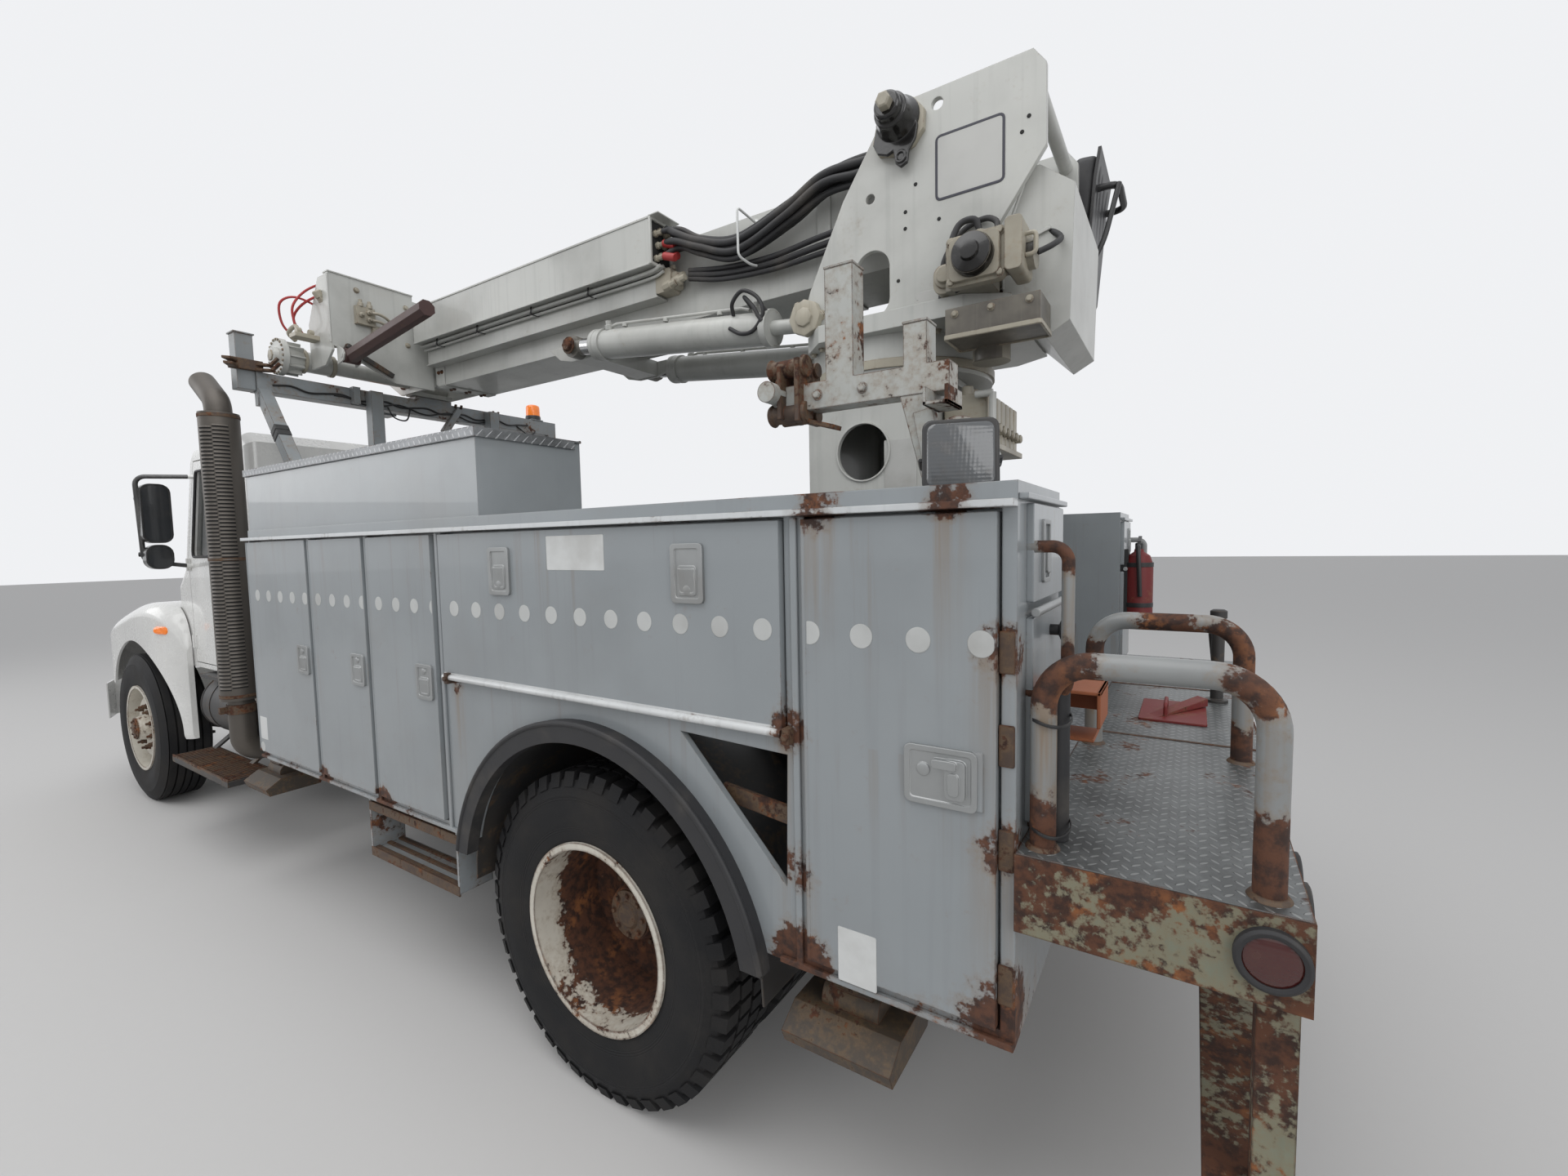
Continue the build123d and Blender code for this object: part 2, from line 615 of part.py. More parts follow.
# Front bumper on the rails' ends
bumper_front = front_axle_x + nose_reach
pin_boss = hood_pin_radius + 2
with BuildPart() as bumper:
    with BuildSketch(Plane.XY.offset(480)) as plan:
        with BuildLine():
            Polyline((bumper_front - 230, 1150), (bumper_front - 60, 1080), (bumper_front, 800),
                     (bumper_front, -800), (bumper_front - 60, -1080), (bumper_front - 230, -1150),
                     (bumper_front - 230, -1142), (bumper_front - 66, -1072), (bumper_front - 8, -797),
                     (bumper_front - 8, 797), (bumper_front - 66, 1072), (bumper_front - 230, 1142), close=True)
        make_face()
    extrude(plan.sketch, amount=270)
    for name, side in sides:
        strut((rail_front - 60, side * (rail_y + 12), 700), (bumper_front - 14, side * (rail_y + 12), 650), 24, 120)
        block((rail_front - 120, rail_front - 20), mirrored((rail_y, rail_y + 24), side), (640, 860))
        # the hood's hinge pin on its bracket, rounded at the pin
        block((hood_pin[0] - pin_boss, hood_pin[0] + pin_boss), mirrored((rail_y, rail_y + 24), side), (660, hood_pin[1]))
        bar((hood_pin[0], side * rail_y, hood_pin[1]), (hood_pin[0], side * (rail_y + 24), hood_pin[1]), pin_boss)
        bar((hood_pin[0], side * (rail_y + 20), hood_pin[1]), (hood_pin[0], side * (hood_lug[1] + 14), hood_pin[1]),
            hood_pin_radius)
save(bumper, "bumper")

# Deck between the cabinets, on sills that lie along the rails
leg_rear_left = rear_axle_x - 860
leg_rear_right = rear_axle_x - 990
leg_front_left = rear_axle_x + 2430
leg_front_right = rear_axle_x + 2570
with BuildPart() as deck:
    block((body_rear, body_front), (-body_inner, body_inner), (deck_top - deck_plate, deck_top))
    for name, side in sides:
        block((body_rear, body_front), mirrored((rail_y - 70, rail_y - 10), side), (rail_top, deck_top - deck_plate))
    block((leg_rear_right - 70, leg_rear_left + 70), (-body_inner - 1, body_inner + 1), (rail_top - 1, deck_top + 1),
          Mode.SUBTRACT)
save(deck, "deck")

# Cabinets: one each side, open to the doors, with the wheel's well below the long compartment
# Doors as (name, rear station, front station), all as high as door_low_z to door_top
tall_doors = {
    1: (("1", 1692, 2318), ("2", 1200, 1656), ("3", 712, 1164), ("rear", -1222, -802)),
    -1: (("1", 1692, 2318), ("2", 712, 1656), ("rear", -1222, -802)),
}
drop_door = (-735, 660)
door_low_z = body_floor + 35
lip = 12
cabinet_outline = ((body_rear, body_floor), (body_rear, body_top), (body_front, body_top), (body_front, body_floor))
leg_angle = radians(42)
leg_out = cos(leg_angle)
leg_down = sin(leg_angle)
foot_y = 1100
foot_z = 600
leg_square = 110
housing_wall = 10
leg_length = 1140
leg_gap = 0.5
housing_square = leg_square + 2 * (housing_wall + leg_gap)


def leg_point(side, along):
    """A point of a leg's axis, that far up from its foot."""
    return side * (foot_y - along * leg_out), foot_z + along * leg_down


def compartment(rear, front, low, side):
    """A compartment behind its door, cut out of a cabinet."""
    seat = door_face - door_thick - seat_gap
    block((rear + lip, front - lip), mirrored((body_inner + sheet, seat + 1), side), (low + lip, door_top - lip),
          Mode.SUBTRACT)
    block((rear - moving_gap, front + moving_gap), mirrored((seat, body_half + 1), side),
          (low - moving_gap, door_top + moving_gap), Mode.SUBTRACT)


for name, side in sides:
    with BuildPart() as cabinet:
        side_plate(cabinet_outline, mirrored((body_inner, body_half), side))
        # wheel well, open below, behind the outer skin
        block((rear_axle_x - 782, rear_axle_x + 690), mirrored((body_inner - 1, body_half - skin), side),
              (body_floor - 1, 1255), Mode.SUBTRACT)
        bar((arch_x, side * (body_half - skin - 5), arch_z), (arch_x, side * (body_half + 5), arch_z), arch_radius,
            Mode.SUBTRACT)
        block((arch_x - arch_radius, arch_x + arch_radius), mirrored((body_half - skin - 5, body_half + 5), side),
              (body_floor - 1, body_floor + 1), Mode.SUBTRACT)
        # triangular opening behind the arch
        side_plate(((rear_axle_x - 410, 1232), (rear_axle_x - 740, 1222), (rear_axle_x - 732, 900)),
                   mirrored((body_half - skin - 5, body_half + 5), side), Mode.SUBTRACT)
        # each compartment is a little smaller than its door, which shuts against the lip
        for door_name, rear, front in tall_doors[side]:
            compartment(rear_axle_x + rear, rear_axle_x + front, door_low_z, side)
        compartment(rear_axle_x + drop_door[0], rear_axle_x + drop_door[1], drop_door_low, side)
        # drip lip over the doors, and the cap above it set back
        block((body_rear, body_front), mirrored((body_half - 5, body_half + 32), side), (door_top + 8, door_top + 22))
        if side > 0:
            block((raised_rear, body_front), (body_inner, body_half - 10), (body_top - 5, raised_top))
            block((raised_rear + 16, body_front - 16), (body_inner + 16, body_half - 26), (door_top + 40, raised_top + 1),
                  Mode.SUBTRACT)
        # where the outrigger's housing passes through
        leg_x = leg_rear_left if side > 0 else leg_rear_right
        strut((leg_x, *leg_point(side, -200)), (leg_x, *leg_point(side, 1200)), housing_square + 4, housing_square + 4,
              Mode.SUBTRACT)
        # steps ahead of the wheel
        for z in (476, 670):
            block((rear_axle_x + 690, rear_axle_x + 1330), mirrored((1060, 1190), side), (z - 6, z + 6))
        for x in (rear_axle_x + 690, rear_axle_x + 1318):
            block((x, x + 12), mirrored((1060, 1190), side), (464, body_floor + 1))
    save(cabinet, f"body_{name}")


# Doors of the cabinets: tall ones hinged on their front edges, the long one on its lower edge
latch = (92, 116)
latch_z = 1245
hinge_rod = 10
door_barrel = 5.5
door_hinge_inset = 3
drop_hinge_z = drop_door_low - moving_gap
for side_name, side in sides:
    for door_name, rear, front in tall_doors[side]:
        with BuildPart() as tall_door:
            block((rear_axle_x + rear, rear_axle_x + front), mirrored((door_face - door_thick, door_face), side),
                  (door_low_z, door_top))
            hinge = (rear_axle_x + front + moving_gap / 2, side * (door_face - door_hinge_inset))
            bar((*hinge, door_low_z), (*hinge, door_top), door_barrel)
            x = rear_axle_x + rear + 70
            block((x - latch[0] / 2, x + latch[0] / 2), mirrored((door_face - 1, door_face + 5), side),
                  (latch_z - latch[1] / 2, latch_z + latch[1] / 2))
        save(tall_door, f"door_{side_name}_{door_name}")
    with BuildPart() as long_door:
        block((rear_axle_x + drop_door[0], rear_axle_x + drop_door[1]),
              mirrored((door_face - door_thick, door_face), side), (drop_door_low, door_top))
        bar((rear_axle_x + drop_door[0], side * (door_face + 2), drop_hinge_z),
            (rear_axle_x + drop_door[1], side * (door_face + 2), drop_hinge_z), hinge_rod)
        for station in (310, -465):
            x = rear_axle_x + station
            block((x - latch[0] / 2, x + latch[0] / 2), mirrored((door_face - 1, door_face + 5), side),
                  (1645 - latch[1] / 2, 1645 + latch[1] / 2))
    save(long_door, f"drop_door_{side_name}")

# Lid of the raised box: a tread plate with turned-down edges, hinged inboard
lid_low = raised_top + seat_gap
with BuildPart() as box_lid:
    block((raised_rear - 10, body_front + 10), (body_inner, body_half), (lid_low, lid_low + 6))
    block((raised_rear - 10, body_front + 10), (body_half - 4, body_half), (lid_low - 26, lid_low + 1))
    for low in (raised_rear - 10, body_front + moving_gap):
        block((low, low + 4), (body_inner + 30, body_half), (lid_low - 26, lid_low + 1))
    bar((raised_rear, body_inner - 4, lid_low + 6), (body_front, body_inner - 4, lid_low + 6), door_barrel)
save(box_lid, "box_lid")

# Tail shelf: a tread plate on a channel frame, with lamps, a hitch plate and the step below it
tail_rear = rear_axle_x - tail_reach
tail_skirt = 12
hitch_hole = 9
hitch_span = (120, 80)
hitch_z = (tail_low + deck_top) / 2
with BuildPart() as tail_shelf:
    block((tail_rear + 6, body_rear), (-door_face, door_face), (tail_low, deck_top))
    block((tail_rear + 6 + tail_skirt, body_rear - tail_skirt), (-door_face + tail_skirt, door_face - tail_skirt),
          (tail_low - 1, deck_top - 8), Mode.SUBTRACT)
    for name, side in sides:
        bar((rear_axle_x - 1650, side * (door_face - 2), 1045), (rear_axle_x - 1650, side * (door_face + 8), 1045), 40)
        for y in (side * 1060, side * 930):
            bar((tail_rear + 7, y, 1045), (tail_rear, y, 1045), 50)
        block((tail_rear + 12, tail_rear + 72), mirrored((1090, 1150), side), (560, tail_low + 1))
    block((tail_rear + 12, tail_rear + 142), (-1150, 1150), (540, 570))
    block((tail_rear, tail_rear + 7), (-90, 90), (tail_low + 6, deck_top - 6))
    for y in (-hitch_span[0] / 2, hitch_span[0] / 2):
        for z in (hitch_z - hitch_span[1] / 2, hitch_z + hitch_span[1] / 2):
            bar((tail_rear - 1, y, z), (tail_rear + 30, y, z), hitch_hole, Mode.SUBTRACT)
save(tail_shelf, "tail_shelf")

# Hoops on the tail shelf and the handles on the cabinets' rear faces
hoop_radius = 24
hoop_top = 1481
handle_x = body_rear - 75
with BuildPart() as grab_hoops:
    for y in (1165, 415):
        tube_path(((rear_axle_x - 1649, y, deck_top), (rear_axle_x - 1649, y, hoop_top),
                   (rear_axle_x - 1297, y, hoop_top), (rear_axle_x - 1297, y, deck_top)), hoop_radius, 85)
    for y in (1120, -1120):
        tube_path(((body_rear, y, 1410), (handle_x, y, 1410), (handle_x, y, 1700), (body_rear, y, 1700)), 12, 30)
save(grab_hoops, "grab_hoops")

# Rubber flares round the wheel arches
with BuildPart() as wheel_flares:
    for name, side in sides:
        with BuildSketch(Plane.XZ.offset(-side * body_half)) as ring:
            with Locations((arch_x, arch_z)):
                Circle(arch_radius + flare_width)
                Circle(arch_radius - 12, mode=Mode.SUBTRACT)
            with Locations((arch_x, arch_z - 1000 + 115)):
                Rectangle(2000, 2000, mode=Mode.SUBTRACT)
        extrude(ring.sketch, amount=-side * 42)
save(wheel_flares, "wheel_flares")

# Outriggers: square legs that slide down and out of housings crossed over the rails
housing_low = 175
housing_high = 1150
leg_stations = (("front", leg_front_left, leg_front_right), ("rear", leg_rear_left, leg_rear_right))
with BuildPart() as outrigger_housings:
    for place, left_x, right_x in leg_stations:
        middle = (left_x + right_x) / 2
        half = (right_x - left_x) / 2
        ends = sorted((left_x, right_x))
        block((ends[0] - 60, ends[1] + 60), (-rail_y, rail_y), (rail_top, rail_top + 76))
        web = [(-rail_y, rail_top), (rail_y, rail_top), (rail_y, 1200), (250, 1365), (-250, 1365), (-rail_y, 1200)]
        cross_plate(web, (middle - 8, middle + 8))
        for x, side in ((left_x, 1), (right_x, -1)):
            strut((x, *leg_point(side, housing_low)), (x, *leg_point(side, housing_high)), housing_square,
                  housing_square)
            strut((x, *leg_point(side, housing_low - 5)), (x, *leg_point(side, housing_high + 5)),
                  leg_square + 2 * leg_gap, leg_square + 2 * leg_gap, Mode.SUBTRACT)
save(outrigger_housings, "outrigger_housings")

for place, left_x, right_x in leg_stations:
    for (name, side), x in zip(sides, (left_x, right_x)):
        with BuildPart() as leg:
            strut((x, *leg_point(side, 0)), (x, *leg_point(side, leg_length)), leg_square, leg_square)
            bar((x - 75, *leg_point(side, 0)), (x + 75, *leg_point(side, 0)), 40)
            shoe = [(side * (foot_y + y), foot_z + z) for y, z in ((-110, -85), (110, -85), (125, -50), (60, -10),
                                                                  (-60, -10), (-125, -50))]
            cross_plate(shoe, (x - 140, x + 140))
        save(leg, f"leg_{place}_{name}")

# Rest for the boom behind the cab: a beam on posts from the rails, braced to the raised box
rest_x = rear_axle_x + 2830
rest_top = boom_low - 22
beacon_y = 249
with BuildPart() as boom_rest:
    block((rest_x - 50, rest_x + 50), (-970, 970), (rest_top - 100, rest_top))
    block((rest_x - 50, rest_x + 50), (-120, 120), (rest_top - 1, boom_low - seat_gap))
    for name, side in sides:
        block((rest_x - 125, rest_x - 55), mirrored((rail_y - 72, rail_y - 2), side), (rail_top, rest_top - 10))
        block((rest_x - 60, rest_x - 49), mirrored((rail_y - 72, rail_y - 2), side), (rest_top - 100, rest_top - 10))
        block((rest_x - 50, rest_x - 10), mirrored((900, 970), side), (rest_top - 180, rest_top - 90))
    strut((rest_x, 935, rest_top - 70), (body_front + 40, 935, 2040), 60, 60)
    block((body_front, body_front + 60), (890, 980), (1980, 2080))
    # beacon ahead of the beam on its bracket, and the saddle's two legs with their claws beside the pad
    block((rest_x + 45, rest_x + 160), (beacon_y - 50, beacon_y + 50), (rest_top - 110, rest_top - 98))
    bar((rest_x + 105, beacon_y, rest_top - 99), (rest_x + 105, beacon_y, rest_top + 4), 50)
    for y in (-170, -450):
        block((rest_x - 30, rest_x + 30), (y - 22, y + 22), (rest_top - 1, rest_top + 4))
        strut((rest_x - 51, y, rest_top - 20), (rest_x - 51, y + 110, rest_top - 190), 40, 40)
    # post on the beam where the stowage plate hangs over it
    block((rest_x - 90, rest_x - 49), (470, 510), (rest_top - 95, rest_top + 4))
save(boom_rest, "boom_rest")

# Rack for poles and tools on the left cabinet's top
rack_y = 905
with BuildPart() as pole_rack:
    strut((rear_axle_x - 1010, rack_y, body_top + 10), (rear_axle_x - 935, rack_y, 2110), 60, 60)
    block((rear_axle_x - 1040, rear_axle_x - 540), (rack_y - 32, rack_y + 32), (2070, 2140))
    block((rear_axle_x - 790, rear_axle_x - 710), (rack_y - 32, rack_y + 32), (2139, 2420))
    block((rear_axle_x - 985, rear_axle_x - 925), (rack_y - 32, rack_y + 32), (2139, 2240))
    bar((rear_axle_x - 560, rack_y - 90, 2120), (rear_axle_x - 560, rack_y + 90, 2120), 28)
    block((rear_axle_x - 1120, rear_axle_x - 900), (rack_y - 60, rack_y + 60), (body_top, body_top + 10))
    bar((rear_axle_x - 1060, rack_y + 20, body_top + 100), (rear_axle_x - 1080, rack_y + 90, body_top + 100), 70)
    block((rear_axle_x - 1072, rear_axle_x - 1052), (rack_y - 10, rack_y + 40), (body_top + 5, body_top + 60))
save(pole_rack, "pole_rack")

# Pedestal: a square column with round openings, under the bearing's flange
pedestal_wall = 14
with BuildPart() as pedestal:
    block((turret_x - pedestal_half_x, turret_x + pedestal_half_x), (-pedestal_half_y, pedestal_half_y),
          (deck_top, bearing_low))
    block((turret_x - pedestal_half_x + pedestal_wall, turret_x + pedestal_half_x - pedestal_wall),
          (-pedestal_half_y + pedestal_wall, pedestal_half_y - pedestal_wall), (deck_top - 1, bearing_low - 20),
          Mode.SUBTRACT)
    bar((rear_axle_x - 523, -pedestal_half_y - 1, 2037), (rear_axle_x - 523, pedestal_half_y + 1, 2037), 100,
        Mode.SUBTRACT)
save(pedestal, "pedestal")

# Turret: bearing, turntable and the two side plates that carry the boom's pivot and the cylinders' pins
bearing_radius = 345
plate_outline = ((-300, turntable_top), (-280, 2530), (-314, 2639), (-454, 2920), (-610, 3150), (-667, 3178),
                 (-1096, 3180), (-1134, 3128), (-1136, 2894), (-845, turntable_top))
cylinder_pin_radius = 30
with BuildPart() as turret:
    bar((turret_x, 0, bearing_low + seat_gap), (turret_x, 0, turntable_low + 1), bearing_radius)
    with BuildSketch(Plane.XY.offset(turntable_low)) as table:
        with BuildLine():
            Polyline(*[(rear_axle_x + x, y) for x, y in ((-280, -280), (-280, 280), (-380, 380), (-900, 380),
                                                         (-1030, 300), (-1030, -300), (-900, -380), (-380, -380))],
                     close=True)
        make_face()
    extrude(table.sketch, amount=turntable_top - turntable_low)
    for name, side in sides:
        side_plate([(rear_axle_x + x, z) for x, z in plate_outline],
                   mirrored((plate_y - plate_thick, plate_y), side))
        bar((pivot[0], side * (plate_y - 1), pivot[1]), (pivot[0], side * (plate_y + 45), pivot[1]), 58)
    bar((pivot[0], -plate_y - 20, pivot[1]), (pivot[0], plate_y + 20, pivot[1]), pin_radius)
    bar((barrel_pin[0], -plate_y - 20, barrel_pin[1]), (barrel_pin[0], plate_y + 20, barrel_pin[1]),
        cylinder_pin_radius)
    with BuildSketch(Plane.XZ.offset(-plate_y - 1)) as window:
        with Locations((rear_axle_x - 565, 2610)):
            SlotOverall(230, 130, rotation=90)
        with Locations((rear_axle_x - 800, 3130)):
            Circle(20)
        with Locations((rear_axle_x - 560, 2900)):
            Circle(17)
    extrude(window.sketch, amount=2 * plate_y + 2, mode=Mode.SUBTRACT)
    bar((rear_axle_x - 1090, -plate_y, 3120), (rear_axle_x - 1090, plate_y, 3120), 24)
    cover = ((-1000, turntable_top), (-1000, 2640), (-1085, 2860), (-1110, 2860), (-1210, 2780), (-1200, 2380),
             (-1130, 2340), (-1030, 2440))
    side_plate([(rear_axle_x + x, z) for x, z in cover], (-plate_y + 40, plate_y - 40))
save(turret, "turret")

# Winch drum behind the boom, and the slewing drive: gearbox and pan under the turntable, motor above it
winch = (rear_axle_x - 890, 2660)
winch_radius = 85
slew_x = rear_axle_x - 955
pan_low = turntable_low - 90
plate_inner = plate_y - plate_thick - seat_gap
plate_outer = plate_y + seat_gap
with BuildPart() as winch_drive:
    bar((winch[0], -plate_inner, winch[1]), (winch[0], plate_inner, winch[1]), winch_radius)
    bar((slew_x, 240, pan_low - 40), (slew_x, 240, turntable_low - seat_gap), 60)
    block((slew_x - 190, slew_x + 90), (285, 440), (pan_low, turntable_low - seat_gap))
    block((slew_x - 45, slew_x + 95), (plate_outer, plate_y + 100), (turntable_top + seat_gap, 2620))
    bar((slew_x - 5, plate_y + 99, 2560), (slew_x - 5, plate_y + 180, 2560), 58)
    bar((slew_x - 60, plate_y + 60, 2560), (slew_x - 165, plate_y + 60, 2560), 45)
save(winch_drive, "winch_drive")

# Operator's seat on the turret's right side: bracket, cushion, tall back and the guard tube behind it
seat_y = (-740, -380)
seat_low = 2660
with BuildPart() as operator_seat:
    block((rear_axle_x - 1130, rear_axle_x - 760), seat_y, (seat_low, seat_low + 75))
    side_plate([(rear_axle_x + x, z) for x, z in ((-1105, seat_low + 20), (-1080, 2900), (-1115, 3150), (-1155, 3240),
                                                  (-1200, 3225), (-1195, 3120), (-1160, 2900), (-1160, seat_low + 20))],
               seat_y)
    fillet(operator_seat.edges().filter_by(Axis.Y).group_by(Axis.Z)[-1], 18)
    tube_path(((rear_axle_x - 1165, seat_y[1] - 60, 3080), (rear_axle_x - 1260, seat_y[1] - 60, 3080),
               (rear_axle_x - 1260, seat_y[0] + 60, 3080), (rear_axle_x - 1165, seat_y[0] + 60, 3080)), 14, 60)
    block((rear_axle_x - 910, rear_axle_x - 840), (seat_y[0] + 140, -plate_outer), (seat_low - 40, seat_low + 1))
save(operator_seat, "operator_seat")

# Lift cylinders: a pair of barrels on the turret, rods to the boom
rod_line = Vector(rod_pin[0] - barrel_pin[0], 0, rod_pin[1] - barrel_pin[1])
closed = rod_line.length
rod_line = rod_line.normalized()


def on_cylinder(along, side):
    """A point on a lift cylinder's axis, that far from the barrel's pin."""
    return (barrel_pin[0] + along * rod_line.X, side * cylinder_y, barrel_pin[1] + along * rod_line.Z)


barrel_start = 190
barrel_end = 1195
rod_start = 235
eye_half = 28
with BuildPart() as lift_barrels:
    for name, side in sides:
        bar(on_cylinder(barrel_start, side), on_cylinder(barrel_end, side), barrel_radius)
        bar(on_cylinder(barrel_end - 60, side), on_cylinder(barrel_end, side), barrel_radius + 6)
        bar(on_cylinder(0, side), on_cylinder(barrel_start + 5, side), eye_half)
        bar((barrel_pin[0], side * cylinder_y - eye_half, barrel_pin[1]),
            (barrel_pin[0], side * cylinder_y + eye_half, barrel_pin[1]), 48)
        bar((barrel_pin[0], side * cylinder_y - 60, barrel_pin[1]), (barrel_pin[0], side * cylinder_y + 60, barrel_pin[1]),
            cylinder_pin_radius + running_fit, Mode.SUBTRACT)
        bar(on_cylinder(rod_start - 15, side), on_cylinder(barrel_end + 1, side), rod_radius + running_fit,
            Mode.SUBTRACT)
save(lift_barrels, "lift_barrels")

with BuildPart() as lift_rods:
    for name, side in sides:
        bar(on_cylinder(rod_start, side), on_cylinder(closed, side), rod_radius)
        bar((rod_pin[0], side * (cylinder_y - eye_half), rod_pin[1]), (rod_pin[0], side * (cylinder_y + eye_half), rod_pin[1]),
            52)
        bar((rod_pin[0], side * (cylinder_y - 34), rod_pin[1]), (rod_pin[0], side * (cylinder_y + 45), rod_pin[1]), 32)
save(lift_rods, "lift_rods")


def boom_section(rear, front, half, low, high, wall):
    """A hollow box section open at its front end."""
    block((rear, front), (-half, half), (low, high))
    block((rear + wall, front + 1), (-half + wall, half - wall), (low + wall, high - wall), Mode.SUBTRACT)


# Lower boom: pivot bosses, the cylinders' lug, and the long hose cover on its left side
boom_rear = rear_axle_x - 800
lug_half = 225
with BuildPart() as boom_lower:
    boom_section(boom_rear, boom_front, boom_half, boom_low, boom_high, boom_wall)
    block((boom_rear, pivot[0] + 130), (-boom_half, boom_half), (boom_low + 100, pivot[1] + 60))
    bar((pivot[0], -plate_y + plate_thick + seat_gap, pivot[1]), (pivot[0], plate_y - plate_thick - seat_gap, pivot[1]),
        75)
    bar((pivot[0], -plate_y, pivot[1]), (pivot[0], plate_y, pivot[1]), pin_radius + running_fit, Mode.SUBTRACT)
    block((rod_pin[0] - 70, rod_pin[0] + 70), (-lug_half, lug_half), (rod_pin[1] - 45, boom_low + 1))
    block((rear_axle_x + 504, rear_axle_x + 2427), (boom_half - 1, 300), (2949, 3148))
    block((boom_front - 80, boom_front), (-110, 110), (boom_low + boom_wall - 1, boom_low + boom_wall + slide_pad - seat_gap))
save(boom_lower, "boom_lower")

# Telescoping sections, each on slide pads inside the one before it
mid_half = boom_half - boom_wall - slide_pad
mid_low = boom_low + boom_wall + slide_pad
mid_high = boom_high - boom_wall - slide_pad
mid_rear = rear_axle_x - 420
mid_front = boom_front + 60
mid_wall = 10
with BuildPart() as boom_mid:
    boom_section(mid_rear, mid_front, mid_half, mid_low, mid_high, mid_wall)
    block((mid_rear + 10, mid_rear + 110), (-110, 110), (mid_low - slide_pad + seat_gap, mid_low + 1))
    block((mid_front - 80, mid_front), (-90, 90), (mid_low + mid_wall - 1, mid_low + mid_wall + slide_pad - seat_gap))
save(boom_mid, "boom_mid")

upper_half = mid_half - mid_wall - slide_pad
upper_low = mid_low + mid_wall + slide_pad
upper_high = mid_high - mid_wall - slide_pad
upper_rear = mid_rear + 60
upper_front = mid_front + 160
tip_bore = 20
tip_pin = (rear_axle_x + 3120, 2960)
tip_low = 2710
cheek = 18
stow_x = mid_front + 20
stow_y = 712
stow_seat = upper_half + cheek + seat_gap
stow_top = 3252
gear_at = (rear_axle_x + 2815, 2812)
gear_start = 600
gear_radius = 100
guide_pin = (stow_x - 46, 2800)
guide_pin_radius = 16
guide_y = 640
guide_hub = 37.5
guide_reach = 820
with BuildPart() as boom_upper:
    boom_section(upper_rear, upper_front, upper_half, upper_low, upper_high, 12)
    block((upper_rear + 10, upper_rear + 110), (-90, 90), (upper_low - slide_pad + seat_gap, upper_low + 1))
    # the tip's cheek plates, with a sheave between them
    for name, side in sides:
        side_plate([(rear_axle_x + x, z) for x, z in ((2510, 2735), (2510, 3120), (2600, 3200), (2900, 3180),
                                                      (3170, 3020), (3170, 2900), (2900, 2735))],
                   mirrored((upper_half - 1, upper_half + cheek), side))
    for x, z, radius in ((2760, 3120, 30), (2860, 2800, 30)):
        bar((rear_axle_x + x, -upper_half - 2, z), (rear_axle_x + x, upper_half + 2, z), radius)
    with BuildSketch(Plane.XZ.offset(-25)) as sheave:
        with Locations((rear_axle_x + 2760, 3120)):
            Circle(75)
    extrude(sheave.sketch, amount=50)
    bar((tip_pin[0], -upper_half - 20, tip_pin[1]), (tip_pin[0], upper_half + 20, tip_pin[1]), tip_bore,
        Mode.SUBTRACT)
    # stowage plate on the left cheek, with a bar along its top and a flange down its outer edge
    cross_plate(((stow_seat, tip_low), (stow_seat, stow_top - 40), (stow_y - 12, stow_top),
                 (stow_y, stow_top), (stow_y, tip_low + 150), (stow_y - 330, tip_low)), (stow_x, stow_x + 15))
    block((stow_x, stow_x + 45), (260, stow_y), (stow_top - 40, stow_top))
    side_plate(((stow_x, 2830), (stow_x, stow_top - 10), (stow_x + 120, stow_top - 10), (stow_x + 260, 3010),
                (stow_x + 260, 2760), (stow_x + 90, 2760)), (stow_y - 12, stow_y))
    # gear drive across the boom: motor, ribbed bell housing and flange, on a tube from the cheek
    bar((gear_at[0], stow_seat, gear_at[1]), (gear_at[0], gear_start + 1, gear_at[1]), 45)
    turned(gear_at, ((gear_start, 0), (gear_start, 57), (gear_start + 135, 57), (gear_start + 230, 84),
                     (gear_start + 230, gear_radius), (gear_start + 260, gear_radius), (gear_start + 260, 48),
                     (gear_start + 285, 44), (gear_start + 285, 0)))
    with BuildSketch(Plane.XZ.offset(-gear_start - 231)) as ribs:
        with Locations(gear_at):
            with PolarLocations(68, 10):
                Rectangle(46, 9)
    extrude(ribs.sketch, amount=80)
    # shoe over the boom's rest, and the ears and pin of the pole guide
    block((rest_x - 40, rest_x + 40), (-upper_half - 1, upper_half + 1), (boom_low + moving_gap, upper_low))
    for y in (guide_y - guide_hub - 10, guide_y + guide_hub + 2):
        side_plate(((stow_x + 1, guide_pin[1] - 45), (guide_pin[0] - 15, guide_pin[1] - 30),
                    (guide_pin[0] - 30, guide_pin[1]), (guide_pin[0] - 15, guide_pin[1] + 30),
                    (stow_x + 1, guide_pin[1] + 60)), (y, y + 8))
    bar((guide_pin[0], guide_y - guide_hub - 12, guide_pin[1]), (guide_pin[0], guide_y + guide_hub + 12, guide_pin[1]),
        guide_pin_radius)
save(boom_upper, "boom_upper")

